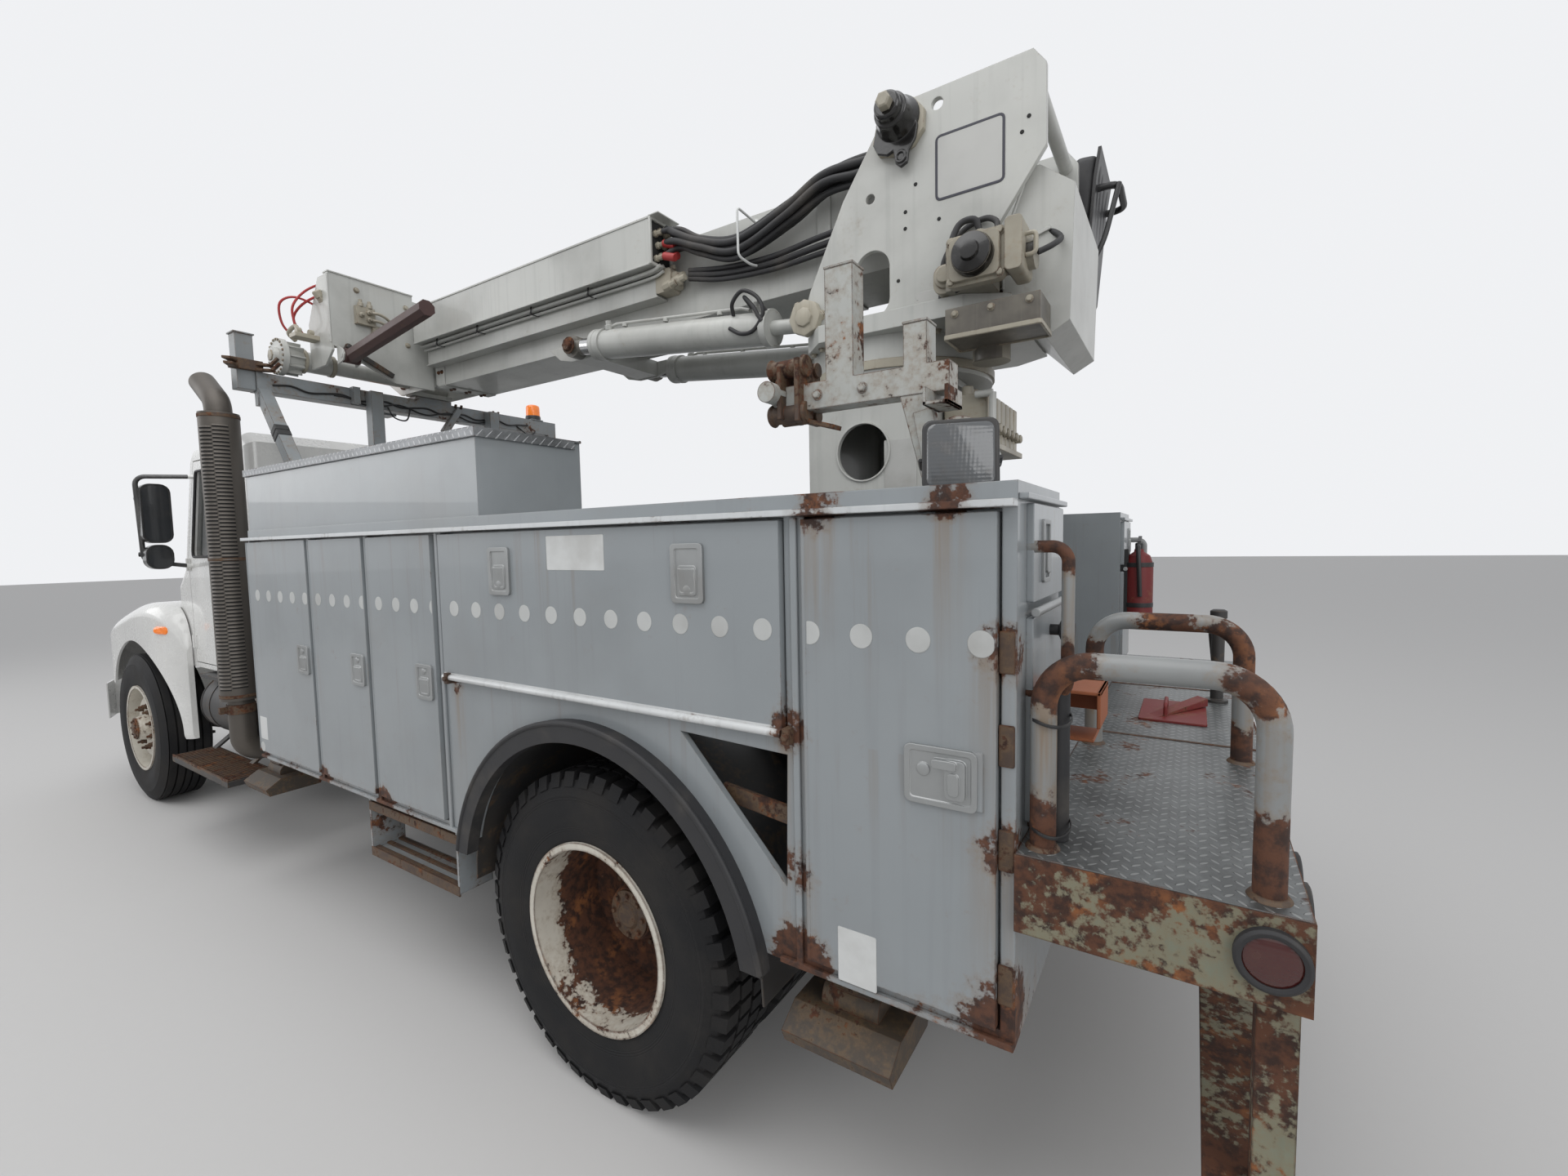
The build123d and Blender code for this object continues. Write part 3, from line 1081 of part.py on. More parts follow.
# Pole guide: an eight-sided arm, stowed rearwards along the boom, that swings up on its pin
with BuildPart() as pole_guide:
    run = Vector(-guide_reach, 30, 80)
    with BuildSketch(Plane(origin=(guide_pin[0] - 20, guide_y, guide_pin[1] + 2), z_dir=run)) as octagon:
        RegularPolygon(guide_hub, 8, major_radius=False, rotation=22.5)
    extrude(octagon.sketch, amount=run.length)
    bar((guide_pin[0], guide_y - guide_hub, guide_pin[1]), (guide_pin[0], guide_y + guide_hub, guide_pin[1]),
        guide_hub + 2)
    bar((guide_pin[0], guide_y - guide_hub - 1, guide_pin[1]), (guide_pin[0], guide_y + guide_hub + 1, guide_pin[1]),
        guide_pin_radius + running_fit, Mode.SUBTRACT)
save(pole_guide, "pole_guide")
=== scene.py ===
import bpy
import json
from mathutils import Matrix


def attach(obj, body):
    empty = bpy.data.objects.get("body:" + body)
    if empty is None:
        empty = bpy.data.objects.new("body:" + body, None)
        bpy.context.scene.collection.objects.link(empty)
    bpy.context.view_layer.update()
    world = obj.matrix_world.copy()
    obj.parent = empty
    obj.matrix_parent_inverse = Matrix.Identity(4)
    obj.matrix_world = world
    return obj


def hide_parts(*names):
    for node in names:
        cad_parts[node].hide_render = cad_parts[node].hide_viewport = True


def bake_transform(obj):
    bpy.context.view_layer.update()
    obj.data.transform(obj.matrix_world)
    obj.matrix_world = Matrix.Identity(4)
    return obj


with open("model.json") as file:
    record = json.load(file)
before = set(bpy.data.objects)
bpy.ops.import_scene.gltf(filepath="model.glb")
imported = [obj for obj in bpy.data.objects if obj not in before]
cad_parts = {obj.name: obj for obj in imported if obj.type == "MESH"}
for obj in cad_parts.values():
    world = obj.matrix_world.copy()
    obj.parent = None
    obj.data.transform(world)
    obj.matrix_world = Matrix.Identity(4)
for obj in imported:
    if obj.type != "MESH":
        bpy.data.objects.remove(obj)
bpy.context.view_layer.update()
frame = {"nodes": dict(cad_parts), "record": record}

import json
import math
import bmesh
import bpy
from mathutils import Matrix, Vector

sides = (("left", 1), ("right", -1))
rearAxle = -1.975
frontAxle = 2.675
axleHeight = 0.515
turretX = -2.515


# Shader helpers

class Wire:
    # one socket, with arithmetic that adds Math nodes
    def __init__(self, sheet, out):
        self.sheet = sheet
        self.out = out

    def math(self, operation, *others, clamp=False):
        return self.sheet.add("Math", {"operation": operation, "use_clamp": clamp}, (self,) + others)

    def __add__(self, other):
        return self.math("ADD", other)

    __radd__ = __add__

    def __mul__(self, other):
        return self.math("MULTIPLY", other)

    __rmul__ = __mul__

    def __sub__(self, other):
        return self.math("SUBTRACT", other)

    def __rsub__(self, other):
        return self.sheet.add("Math", {"operation": "SUBTRACT"}, (other, self))

    def __gt__(self, other):
        return self.math("GREATER_THAN", other)

    def __lt__(self, other):
        return self.math("LESS_THAN", other)

    def abs(self):
        return self.math("ABSOLUTE")

    def cut(self):
        return self.math("ADD", 0.0, clamp=True)

    def ramp(self, low, high):  # smooth step from 0 at low to 1 at high
        return self.sheet.add("MapRange", {"interpolation_type": "SMOOTHSTEP"},
            {"Value": self, "From Min": low, "From Max": high})

    def near(self, centre, width):  # 1 at centre, 0 from width on
        return 1 - (self - centre).abs().ramp(0.0, width)

    def between(self, low, high):
        return (self > low) * (self < high)


class Sheet:
    # a material's node tree
    def __init__(self, name):
        self.material = bpy.data.materials.new(name)
        self.material.use_nodes = True
        self.tree = self.material.node_tree
        self.shader = self.tree.nodes["Principled BSDF"]

    def link(self, value, socket):
        if isinstance(value, Wire):
            self.tree.links.new(value.out, socket)
        elif isinstance(value, (tuple, list)) and socket.type == "RGBA":
            socket.default_value = (*value[:3], 1.0)
        else:
            socket.default_value = value

    def add(self, kind, settings=None, values=(), output=0):
        made = self.tree.nodes.new("ShaderNode" + kind)
        for key, value in (settings or {}).items():
            setattr(made, key, value)
        pairs = values.items() if isinstance(values, dict) else enumerate(values)
        for key, value in pairs:
            self.link(value, made.inputs[key])
        return Wire(self, made.outputs[output])

    def place(self):  # object coordinates are the truck's own frame in metres, at rest
        return self.add("TexCoord", output="Object")

    def split(self, vector):
        made = self.add("SeparateXYZ", {}, (vector,)).out.node
        return [Wire(self, made.outputs[axis]) for axis in "XYZ"]

    def noise(self, vector, scale, detail=4.0, rough=0.55):
        return self.add("TexNoise", {}, {"Vector": vector, "Scale": scale, "Detail": detail, "Roughness": rough})

    def stretched(self, vector, factors, detail=3.0):
        moved = self.add("VectorMath", {"operation": "MULTIPLY"}, (vector, factors))
        return self.noise(moved, 1.0, detail)

    def distance(self, vector, point):
        return self.add("VectorMath", {"operation": "DISTANCE"}, (vector, point), "Value")

    def mix(self, factor, first, second):
        made = self.tree.nodes.new("ShaderNodeMix")
        made.data_type = "RGBA"
        made.clamp_factor = True
        self.link(factor, made.inputs[0])
        self.link(first, made.inputs[6])
        self.link(second, made.inputs[7])
        return Wire(self, made.outputs[2])

    def edge(self, radius):  # 1 along sharp edges
        rounded = self.add("Bevel", {"samples": 4}, {"Radius": radius})
        flat = self.add("NewGeometry", output="Normal")
        facing = self.add("VectorMath", {"operation": "DOT_PRODUCT"}, (rounded, flat), "Value")
        return (1 - facing).ramp(0.02, 0.22)

    def bump(self, height, strength, distance, radius=0.0):
        values = {"Height": height, "Strength": strength, "Distance": distance}
        if radius:
            values["Normal"] = self.add("Bevel", {"samples": 4}, {"Radius": radius})
        return self.add("Bump", {}, values)

    def finish(self, **values):
        for key, value in values.items():
            self.link(value, self.shader.inputs[key.replace("_", " ")])
        return self.material


def shade(colour, factor, warm=0.0):
    return (colour[0] * factor + warm, colour[1] * factor + warm * 0.6, colour[2] * factor + warm * 0.25)


rustColours = {"dark": (0.035, 0.017, 0.012), "mid": (0.1, 0.04, 0.021), "bright": (0.26, 0.1, 0.035)}


def rustTone(sheet, place):
    fine = sheet.noise(place, 38, 6, 0.62)
    warm = sheet.mix(fine.ramp(0.35, 0.6), rustColours["dark"], rustColours["mid"])
    return sheet.mix(sheet.noise(place, 9, 3).ramp(0.5, 0.72) * fine.ramp(0.42, 0.62), warm, rustColours["bright"])


def paint(name, colour, rust=0.0, wear=0.35, dirt=0.3, drips=0.25, gloss=0.32, coat=0.2, low=None, spots=(),
          lines=(), zones=(), edgeWidth=0.006, dents=0.15, wheel=False):
    # enamel over steel: rust eats in from edges, low down, at the named spots and under the named lines
    sheet = Sheet(name)
    place = sheet.place()
    x, y, z = sheet.split(place)
    speck = sheet.noise(place, 60, 4, 0.6)
    patch = sheet.noise(place, 7.5, 7, 0.62) * 0.72 + speck * 0.28
    boost = sheet.edge(edgeWidth) * (wear * 0.3) + rust * 0.26
    if low:
        boost = boost + (1 - z.ramp(low[0], low[1])) * 0.17
    if wheel:  # the rear wheels rust round their hubs and where water lies in the dish
        fromAxle = ((x - rearAxle) * (x - rearAxle) + (z - axleHeight) * (z - axleHeight)).math("SQRT")
        boost = boost + (x < 0) * ((1 - fromAxle.ramp(0.17, 0.3)) * 0.26 + (1 - z.ramp(0.24, 0.5)) * 0.1
            + (1 - y.abs().ramp(1.02, 1.13)) * 0.3)
    runs = sheet.stretched(place, (34, 34, 1.3), 4)
    stain = sheet.noise(place, 3.1, 4).ramp(0.5, 0.8) * 0.2
    for sx, sy, sz, size in spots:
        boost = boost + (1 - sheet.distance(place, (sx, sy, sz)).ramp(size * 0.3, size)) * 0.3
        column = x.near(sx, size * 0.8) * ((y - sy).abs() < 0.2) * (z - sz).ramp(-0.4, -0.01) * (z < sz)
        stain = stain + column * runs.ramp(0.4, 0.62) * 0.9
    for lineZ, reach, weight in lines:
        under = (z - lineZ).ramp(-reach, 0.0) * (z < lineZ)
        stain = stain + under * runs.ramp(0.56, 0.72) * weight
        boost = boost + z.near(lineZ, 0.014) * (0.12 * weight)
    rusted = (patch + boost).ramp(0.72, 0.79)
    halo = (patch + boost).ramp(0.6, 0.76) - rusted
    base = sheet.mix(sheet.noise(place, 1.7, 3).ramp(0.35, 0.7) * 0.4, colour, shade(colour, 1.15, 0.01))
    for test, zoneColour in zones:
        base = sheet.mix(test(x, y, z), base, zoneColour)
    base = sheet.mix(sheet.noise(place, 2.6, 5).ramp(0.42, 0.7) * dirt, base, shade(colour, 0.6, 0.01))
    base = sheet.mix(runs.ramp(0.5, 0.75) * (drips * 0.6), base, shade(colour, 0.66))
    base = sheet.mix((stain + halo * 0.55) * min(1.0, 0.3 + rust + wear), base, shade(colour, 0.4, 0.13))
    height = speck * 0.12 + sheet.noise(place, 2.2, 2) * (dents * 6) + rusted * (speck * 2.0 - 1.2)
    return sheet.finish(Base_Color=sheet.mix(rusted, base, rustTone(sheet, place)),
        Roughness=(patch * 0.16 + gloss - 0.06 + rusted * 0.4).cut(), Coat_Weight=(1 - rusted) * coat,
        Normal=sheet.bump(height, 0.5, 0.0016, edgeWidth * 0.7))


def plain(name, colour, rough=0.5, metal=0.0, grain=90, depth=0.3, dust=0.2, coat=0.0, edgeHighlight=0.25, radius=0.003,
          zone=None):
    # plastic, rubber and bare metal, with fine grain, dust and a painted highlight along the edges
    sheet = Sheet(name)
    place = sheet.place()
    fine = sheet.noise(place, grain, 4, 0.6)
    cloud = sheet.noise(place, 4.5, 5)
    tone = sheet.mix(cloud.ramp(0.35, 0.7) * 0.5, colour, shade(colour, 0.72))
    tone = sheet.mix(cloud.ramp(0.5, 0.8) * dust, tone, (0.23, 0.2, 0.165))
    # edges painted paler: a painted highlight where a rounded edge would catch the light
    tone = sheet.mix(sheet.edge(radius) * edgeHighlight, tone, shade(colour, 1.9, 0.03))
    rough = cloud * 0.25 + rough - 0.12
    if zone:  # a painted stretch of a bare part
        test, zoneColour = zone
        painted = test(*sheet.split(place))
        tone = sheet.mix(painted, tone, zoneColour)
        metal = (1 - painted) * metal
        rough = rough + painted * 0.25
    return sheet.finish(Base_Color=tone, Roughness=rough.cut(), Metallic=metal, Coat_Weight=coat,
        Normal=sheet.bump(fine, depth, 0.0006, radius))


def glassPane(name, tint):
    sheet = Sheet(name)
    place = sheet.place()
    film = sheet.noise(place, 3.5, 5).ramp(0.4, 0.75)
    return sheet.finish(Base_Color=sheet.mix(film * 0.5, tint, (0.42, 0.41, 0.38)), Roughness=film * 0.14 + 0.03,
        Alpha=film * 0.22 + 0.3, IOR=1.5)


def lamp(name, colour, glow=0.0):
    # a moulded lens with prism ribs
    sheet = Sheet(name)
    place = sheet.place()
    x, y, z = sheet.split(place)
    ribs = ((z * 700).math("SINE") + (x * 700).math("SINE") + (y * 700).math("SINE")) * 0.25
    dust = sheet.noise(place, 24, 4).ramp(0.45, 0.75)
    tone = sheet.mix(dust * 0.35, colour, shade(colour, 0.5, 0.05))
    values = {"Base_Color": tone, "Roughness": dust * 0.3 + 0.12, "Coat_Weight": 0.5,
              "Normal": sheet.bump(ribs, 0.35, 0.001)}
    if glow:
        values["Emission_Color"] = tone
        values["Emission_Strength"] = glow
    return sheet.finish(**values)


def treadPlate(name, colour, rust=0.2):
    # raised lugs in alternating pairs, worn bright on top
    sheet = Sheet(name)
    place = sheet.place()
    x, y, z = sheet.split(place)
    u = (x + y + z) * 29.0
    v = (x - y - z * 0.6) * 29.0
    cellU = u.math("FRACT") - 0.5
    cellV = v.math("FRACT") - 0.5
    parity = ((u.math("FLOOR") + v.math("FLOOR")) * 0.5).math("FRACT") > 0.25
    along = cellU * parity + cellV * (1 - parity)
    across = cellV * parity + cellU * (1 - parity)
    lug = 1 - ((along * along) * 5.4 + (across * across) * 60).ramp(0.55, 1.0)
    speck = sheet.noise(place, 70, 4, 0.6)
    patch = sheet.noise(place, 6, 6, 0.6) * 0.7 + speck * 0.3
    rusted = (patch + rust * 0.3 + sheet.edge(0.008) * 0.12).ramp(0.7, 0.77)
    tone = sheet.mix(patch.ramp(0.35, 0.65), shade(colour, 0.55), colour)
    tone = sheet.mix(lug * 0.6, tone, shade(colour, 1.7, 0.02))
    return sheet.finish(Base_Color=sheet.mix(rusted * (1 - lug * 0.5), tone, rustTone(sheet, place)),
        Metallic=(1 - rusted) * 0.7, Roughness=(patch * 0.35 + 0.25 + rusted * 0.3).cut(),
        Normal=sheet.bump(lug + speck * 0.1, 0.8, 0.0022, 0.003))


def tyreRubber(name):
    sheet = Sheet(name)
    place = sheet.place()
    x, y, z = sheet.split(place)
    dust = sheet.noise(place, 5.5, 6, 0.6).ramp(0.38, 0.72)
    fine = sheet.noise(place, 140, 3)
    tone = sheet.mix(dust * 0.4, (0.011, 0.011, 0.012), (0.05, 0.045, 0.04))
    # moulded rings on the sidewalls, about whichever axle is nearer
    fromAxle = sheet.add("Math", {"operation": "MINIMUM"}, ((x - rearAxle) * (x - rearAxle),
        (x - frontAxle) * (x - frontAxle)))
    radius = (fromAxle + (z - axleHeight) * (z - axleHeight)).math("SQRT")
    rings = (radius * 900).math("SINE") * (radius.between(0.332, 0.349) + radius.between(0.43, 0.442))
    return sheet.finish(Base_Color=tone, Roughness=(dust * 0.2 + 0.66).cut(), Specular_IOR_Level=0.25,
        Normal=sheet.bump(fine + dust * 0.5 + rings * 1.5, 0.5, 0.0009))


# Rust spots are (x, y, z, size) on the body's skin; lines are (height, reach, weight) of what drips
bodyRust = {
    "spots": ((-1.37, 1.2, 1.25, 0.07), (-2.72, 1.2, 1.28, 0.09), (-2.74, 1.2, 0.95, 0.1), (-3.2, 1.2, 1.5, 0.1),
              (-3.2, 1.2, 1.12, 0.1), (-3.21, 1.2, 0.8, 0.14), (-2.75, 1.2, 0.76, 0.12), (-0.83, 1.2, 0.74, 0.09),
              (-0.32, 1.2, 0.74, 0.08), (0.34, 1.2, 0.73, 0.06), (-2.8, 1.2, 1.79, 0.1), (-3.1, 1.2, 1.8, 0.08),
              (-2.74, -1.2, 0.95, 0.12), (-3.2, -1.2, 1.3, 0.14)),
    "lines": ((1.776, 0.5, 0.5), (1.275, 0.3, 0.35)),
}
# pale strips on the body: a painted highlight along the drip lip, and a paler band over the drop door's hinge rod
lipHighlightAndPaleRod = (
    (lambda x, y, z: z.between(1.772, 1.794) * (y.abs() > 1.207), (0.62, 0.64, 0.65)),
    (lambda x, y, z: z.between(1.2, 1.292) * (y.abs() > 1.213) * x.between(-2.75, -1.3), (0.62, 0.63, 0.63)),
)
mirrorZone = ((lambda x, y, z: (y.abs() > 1.03) * (z > 1.5), (0.02, 0.02, 0.021)),)
greyPaint = (0.265, 0.287, 0.3)
creamPaint = (0.47, 0.475, 0.45)
whitePaint = (0.72, 0.72, 0.7)
finishes = {
    "frame_black": paint("frameBlack", (0.03, 0.03, 0.031), rust=0.35, wear=0.5, dirt=0.6, gloss=0.5, coat=0.0),
    "body_grey": paint("bodyGrey", greyPaint, rust=0.02, wear=0.42, dirt=0.22, drips=0.25, gloss=0.3, coat=0.3,
                       low=(0.71, 0.82), zones=lipHighlightAndPaleRod, **bodyRust),
    "cab_white": paint("cabWhite", whitePaint, rust=0.0, wear=0.1, dirt=0.2, drips=0.2, gloss=0.25, coat=0.5,
                       zones=mirrorZone, dents=0.05),
    "derrick_cream": paint("derrickCream", creamPaint, rust=0.05, wear=0.4, dirt=0.5, drips=0.5, gloss=0.38,
                           coat=0.15, dents=0.05),
    "tread_plate": treadPlate("treadPlate", (0.3, 0.31, 0.32)),
    "rusty_steel": paint("rustySteel", (0.19, 0.2, 0.145), rust=1.05, wear=0.9, dirt=0.5, drips=0.5, gloss=0.5,
                         coat=0.0),
    "shield_steel": plain("shieldSteel", (0.11, 0.098, 0.086), rough=0.5, metal=0.5, dust=0.3),
    "tyre": tyreRubber("tyreRubber"),
    "rim_white": paint("rimWhite", (0.6, 0.57, 0.5), rust=0.42, wear=0.9, dirt=0.5, drips=0.2, gloss=0.5, coat=0.0,
                       edgeWidth=0.012, wheel=True),
    "black_rubber": plain("blackRubber", (0.022, 0.022, 0.024), rough=0.62, dust=0.3),
    "black_plastic": plain("blackPlastic", (0.018, 0.018, 0.019), rough=0.42, dust=0.12),
    "seat_vinyl": plain("seatVinyl", (0.02, 0.02, 0.022), rough=0.5, grain=220, depth=0.5, dust=0.15),
    "chrome_rod": plain("chromeRod", (0.6, 0.6, 0.6), rough=0.2, metal=1.0, depth=0.05, dust=0.1, edgeHighlight=0.0,
                        zone=(lambda x, y, z: x > -1.0, (0.16, 0.15, 0.13))),
    "glass": glassPane("glass", (0.05, 0.06, 0.06)),
    "guide_brown": paint("guideBrown", (0.05, 0.02, 0.018), rust=0.05, wear=0.3, dirt=0.3, gloss=0.45, coat=0.0),
}
for part in frame["record"]["subparts"]:
    made = frame["nodes"][part["node"]]
    for place in made.material_slots:
        place.material = finishes[part["material_slot"]]
print("finishes on", len(frame["nodes"]), "nodes")


# Finishes of the small pieces
zinc = plain("zinc", (0.36, 0.37, 0.37), rough=0.45, metal=0.75, dust=0.35, edgeHighlight=0.3)
agedSteel = paint("agedSteel", (0.06, 0.038, 0.028), rust=0.8, wear=0.9, dirt=0.5, gloss=0.6, coat=0.0, dents=0.0)
reflector = plain("reflector", (0.52, 0.53, 0.52), rough=0.35, grain=300, depth=0.15, dust=0.25, edgeHighlight=0.0)
labelWhite = plain("labelWhite", (0.66, 0.67, 0.66), rough=0.4, grain=12, depth=0.05, dust=0.3, edgeHighlight=0.0)
placardFilm = plain("placardFilm", (0.47, 0.47, 0.45), rough=0.45, grain=8, depth=0.05, dust=0.55, edgeHighlight=0.0)
inkBlack = plain("inkBlack", (0.03, 0.031, 0.045), rough=0.45, grain=40, depth=0.05, dust=0.1, edgeHighlight=0.0)
grease = plain("grease", (0.006, 0.005, 0.0045), rough=0.24, grain=45, depth=1.0, dust=0.02, coat=0.3, edgeHighlight=0.0)
redEnamel = paint("redEnamel", (0.15, 0.009, 0.01), rust=0.3, wear=0.4, dirt=0.4, gloss=0.55, coat=0.0, dents=0.0)
rustOrange = paint("rustOrange", (0.33, 0.1, 0.04), rust=0.3, wear=0.5, dirt=0.4, gloss=0.6, coat=0.0, dents=0.0)
redHose = plain("redHose", (0.4, 0.03, 0.03), rough=0.45, dust=0.2)
oilyCream = paint("oilyCream", (0.38, 0.35, 0.28), rust=0.3, wear=0.6, dirt=0.9, drips=0.8, gloss=0.4, coat=0.0,
    dents=0.0)
amberLens = lamp("amberLens", (0.85, 0.2, 0.015), 0.25)
redLens = lamp("redLens", (0.055, 0.007, 0.006))
clearLens = lamp("clearLens", (0.6, 0.62, 0.63))
lampGlass = lamp("lampGlass", (0.09, 0.095, 0.1))
mirrorGlass = plain("mirrorGlass", (0.03, 0.032, 0.035), rough=0.12, grain=4, depth=0.0, dust=0.1, coat=0.6,
    edgeHighlight=0.0)
# near-black without sheen: painted shade in the louvre slots and inside the hose box's end, and the dark heads of the
# small plate bolts
shadeAndBoltBlack = plain("shadeAndBoltBlack", (0.012, 0.012, 0.012), rough=0.8, dust=0.1, edgeHighlight=0.0)
tailTread = treadPlate("tailTread", (0.2, 0.21, 0.21), rust=0.5)
rackCream = paint("rackCream", (0.4, 0.41, 0.39), rust=0.7, wear=0.85, dirt=0.35, drips=0.5, gloss=0.5, coat=0.0,
    dents=0.0)
rackGrey = paint("rackGrey", (0.24, 0.26, 0.27), rust=0.5, wear=0.8, dirt=0.35, gloss=0.45, coat=0.0, dents=0.0)
shoeBrown = paint("shoeBrown", (0.05, 0.04, 0.032), rust=0.6, wear=0.8, dirt=0.6, gloss=0.6, coat=0.0, dents=0.0)
slewDrive = paint("slewDrive", (0.3, 0.28, 0.23), rust=0.14, wear=0.5, dirt=0.9, drips=0.8, gloss=0.4, coat=0.1,
    dents=0.0, zones=((lambda x, y, z: (z < 2.43) * (y > 0.28), (0.05, 0.043, 0.038)),
    (lambda x, y, z: (y > 0.421) * (z > 2.48), (0.014, 0.012, 0.01))))
tubeGrey = paint("tubeGrey", (0.24, 0.25, 0.25), rust=0.36, wear=0.5, dirt=0.3, gloss=0.4, coat=0.1, dents=0.0,
    spots=((-3.6, 1.165, 1.48, 0.09), (-3.29, 1.165, 1.48, 0.12), (-3.62, 1.165, 1.18, 0.13),
    (-3.27, 1.165, 1.16, 0.1), (-3.62, 0.415, 1.4, 0.15), (-3.27, 0.415, 1.35, 0.15), (-3.45, 0.415, 1.48, 0.12),
    (-3.3, 1.12, 1.42, 0.1), (-3.3, 1.12, 1.7, 0.08), (-3.62, 0.415, 1.15, 0.12)))
# nodes whose finish differs from their slot's usual one
own = {"pole_rack": rackCream, "boom_rest": rackGrey, "winch_drive": slewDrive, "grab_hoops": tubeGrey}
for place in ("front", "rear"):
    for name, side in sides:
        own[f"leg_{place}_{name}"] = shoeBrown
for node, finish in own.items():
    for place in frame["nodes"][node].material_slots:
        place.material = finish


# Geometry helpers

def turns(count, offset=0.0):
    return [2 * math.pi * (step + offset) / count for step in range(count)]


def axisFrame(direction):
    along = Vector(direction).normalized()
    across = along.cross(Vector((0, 0, 1)))
    if across.length < 0.01:
        across = Vector((1, 0, 0))
    across.normalize()
    return along, across, along.cross(across)


def lift(point, axis, along):  # two coordinates and the third one, along axis 0, 1 or 2
    return (*point[:axis], along, *point[axis:])


def spanOn(side, near, far):  # a stretch across one side of the truck
    return sorted(side * y for y in (near, far))


def rounded(centre, size, corner, steps=4):
    # a rectangle's outline with round corners
    outline = []
    for sx, sy, start in ((1, 1, 0), (-1, 1, 90), (-1, -1, 180), (1, -1, 270)):
        middle = (centre[0] + sx * (size[0] / 2 - corner), centre[1] + sy * (size[1] / 2 - corner))
        for step in range(steps + 1):
            angle = math.radians(start + 90 * step / steps)
            outline.append((middle[0] + corner * math.cos(angle), middle[1] + corner * math.sin(angle)))
    return outline


def circle(centre, radius, sides=32):
    return [(centre[0] + radius * math.cos(turn), centre[1] + radius * math.sin(turn)) for turn in turns(sides)]


def smoothPath(points, steps=6):
    # a curve through every point
    spots = [Vector(point) for point in points]
    spots = [spots[0] * 2 - spots[1]] + spots + [spots[-1] * 2 - spots[-2]]
    path = []
    for a, b, c, d in zip(spots, spots[1:], spots[2:], spots[3:]):
        for step in range(steps):
            t = step / steps
            path.append(b + ((c - a) * t + (a * 2 - b * 5 + c * 4 - d) * t * t
                + (b * 3 - a - c * 3 + d) * t ** 3) * 0.5)
    return path + [spots[-2]]


def bentPath(points, bend, steps=5):
    # straight runs with a round corner between them
    spots = [Vector(point) for point in points]
    path = [spots[0]]
    for before, corner, after in zip(spots, spots[1:], spots[2:]):
        first = corner + (before - corner).normalized() * bend
        last = corner + (after - corner).normalized() * bend
        for step in range(steps + 1):
            t = step / steps
            path.append(first * (1 - t) ** 2 + corner * 2 * t * (1 - t) + last * t * t)
    return path + [spots[-1]]


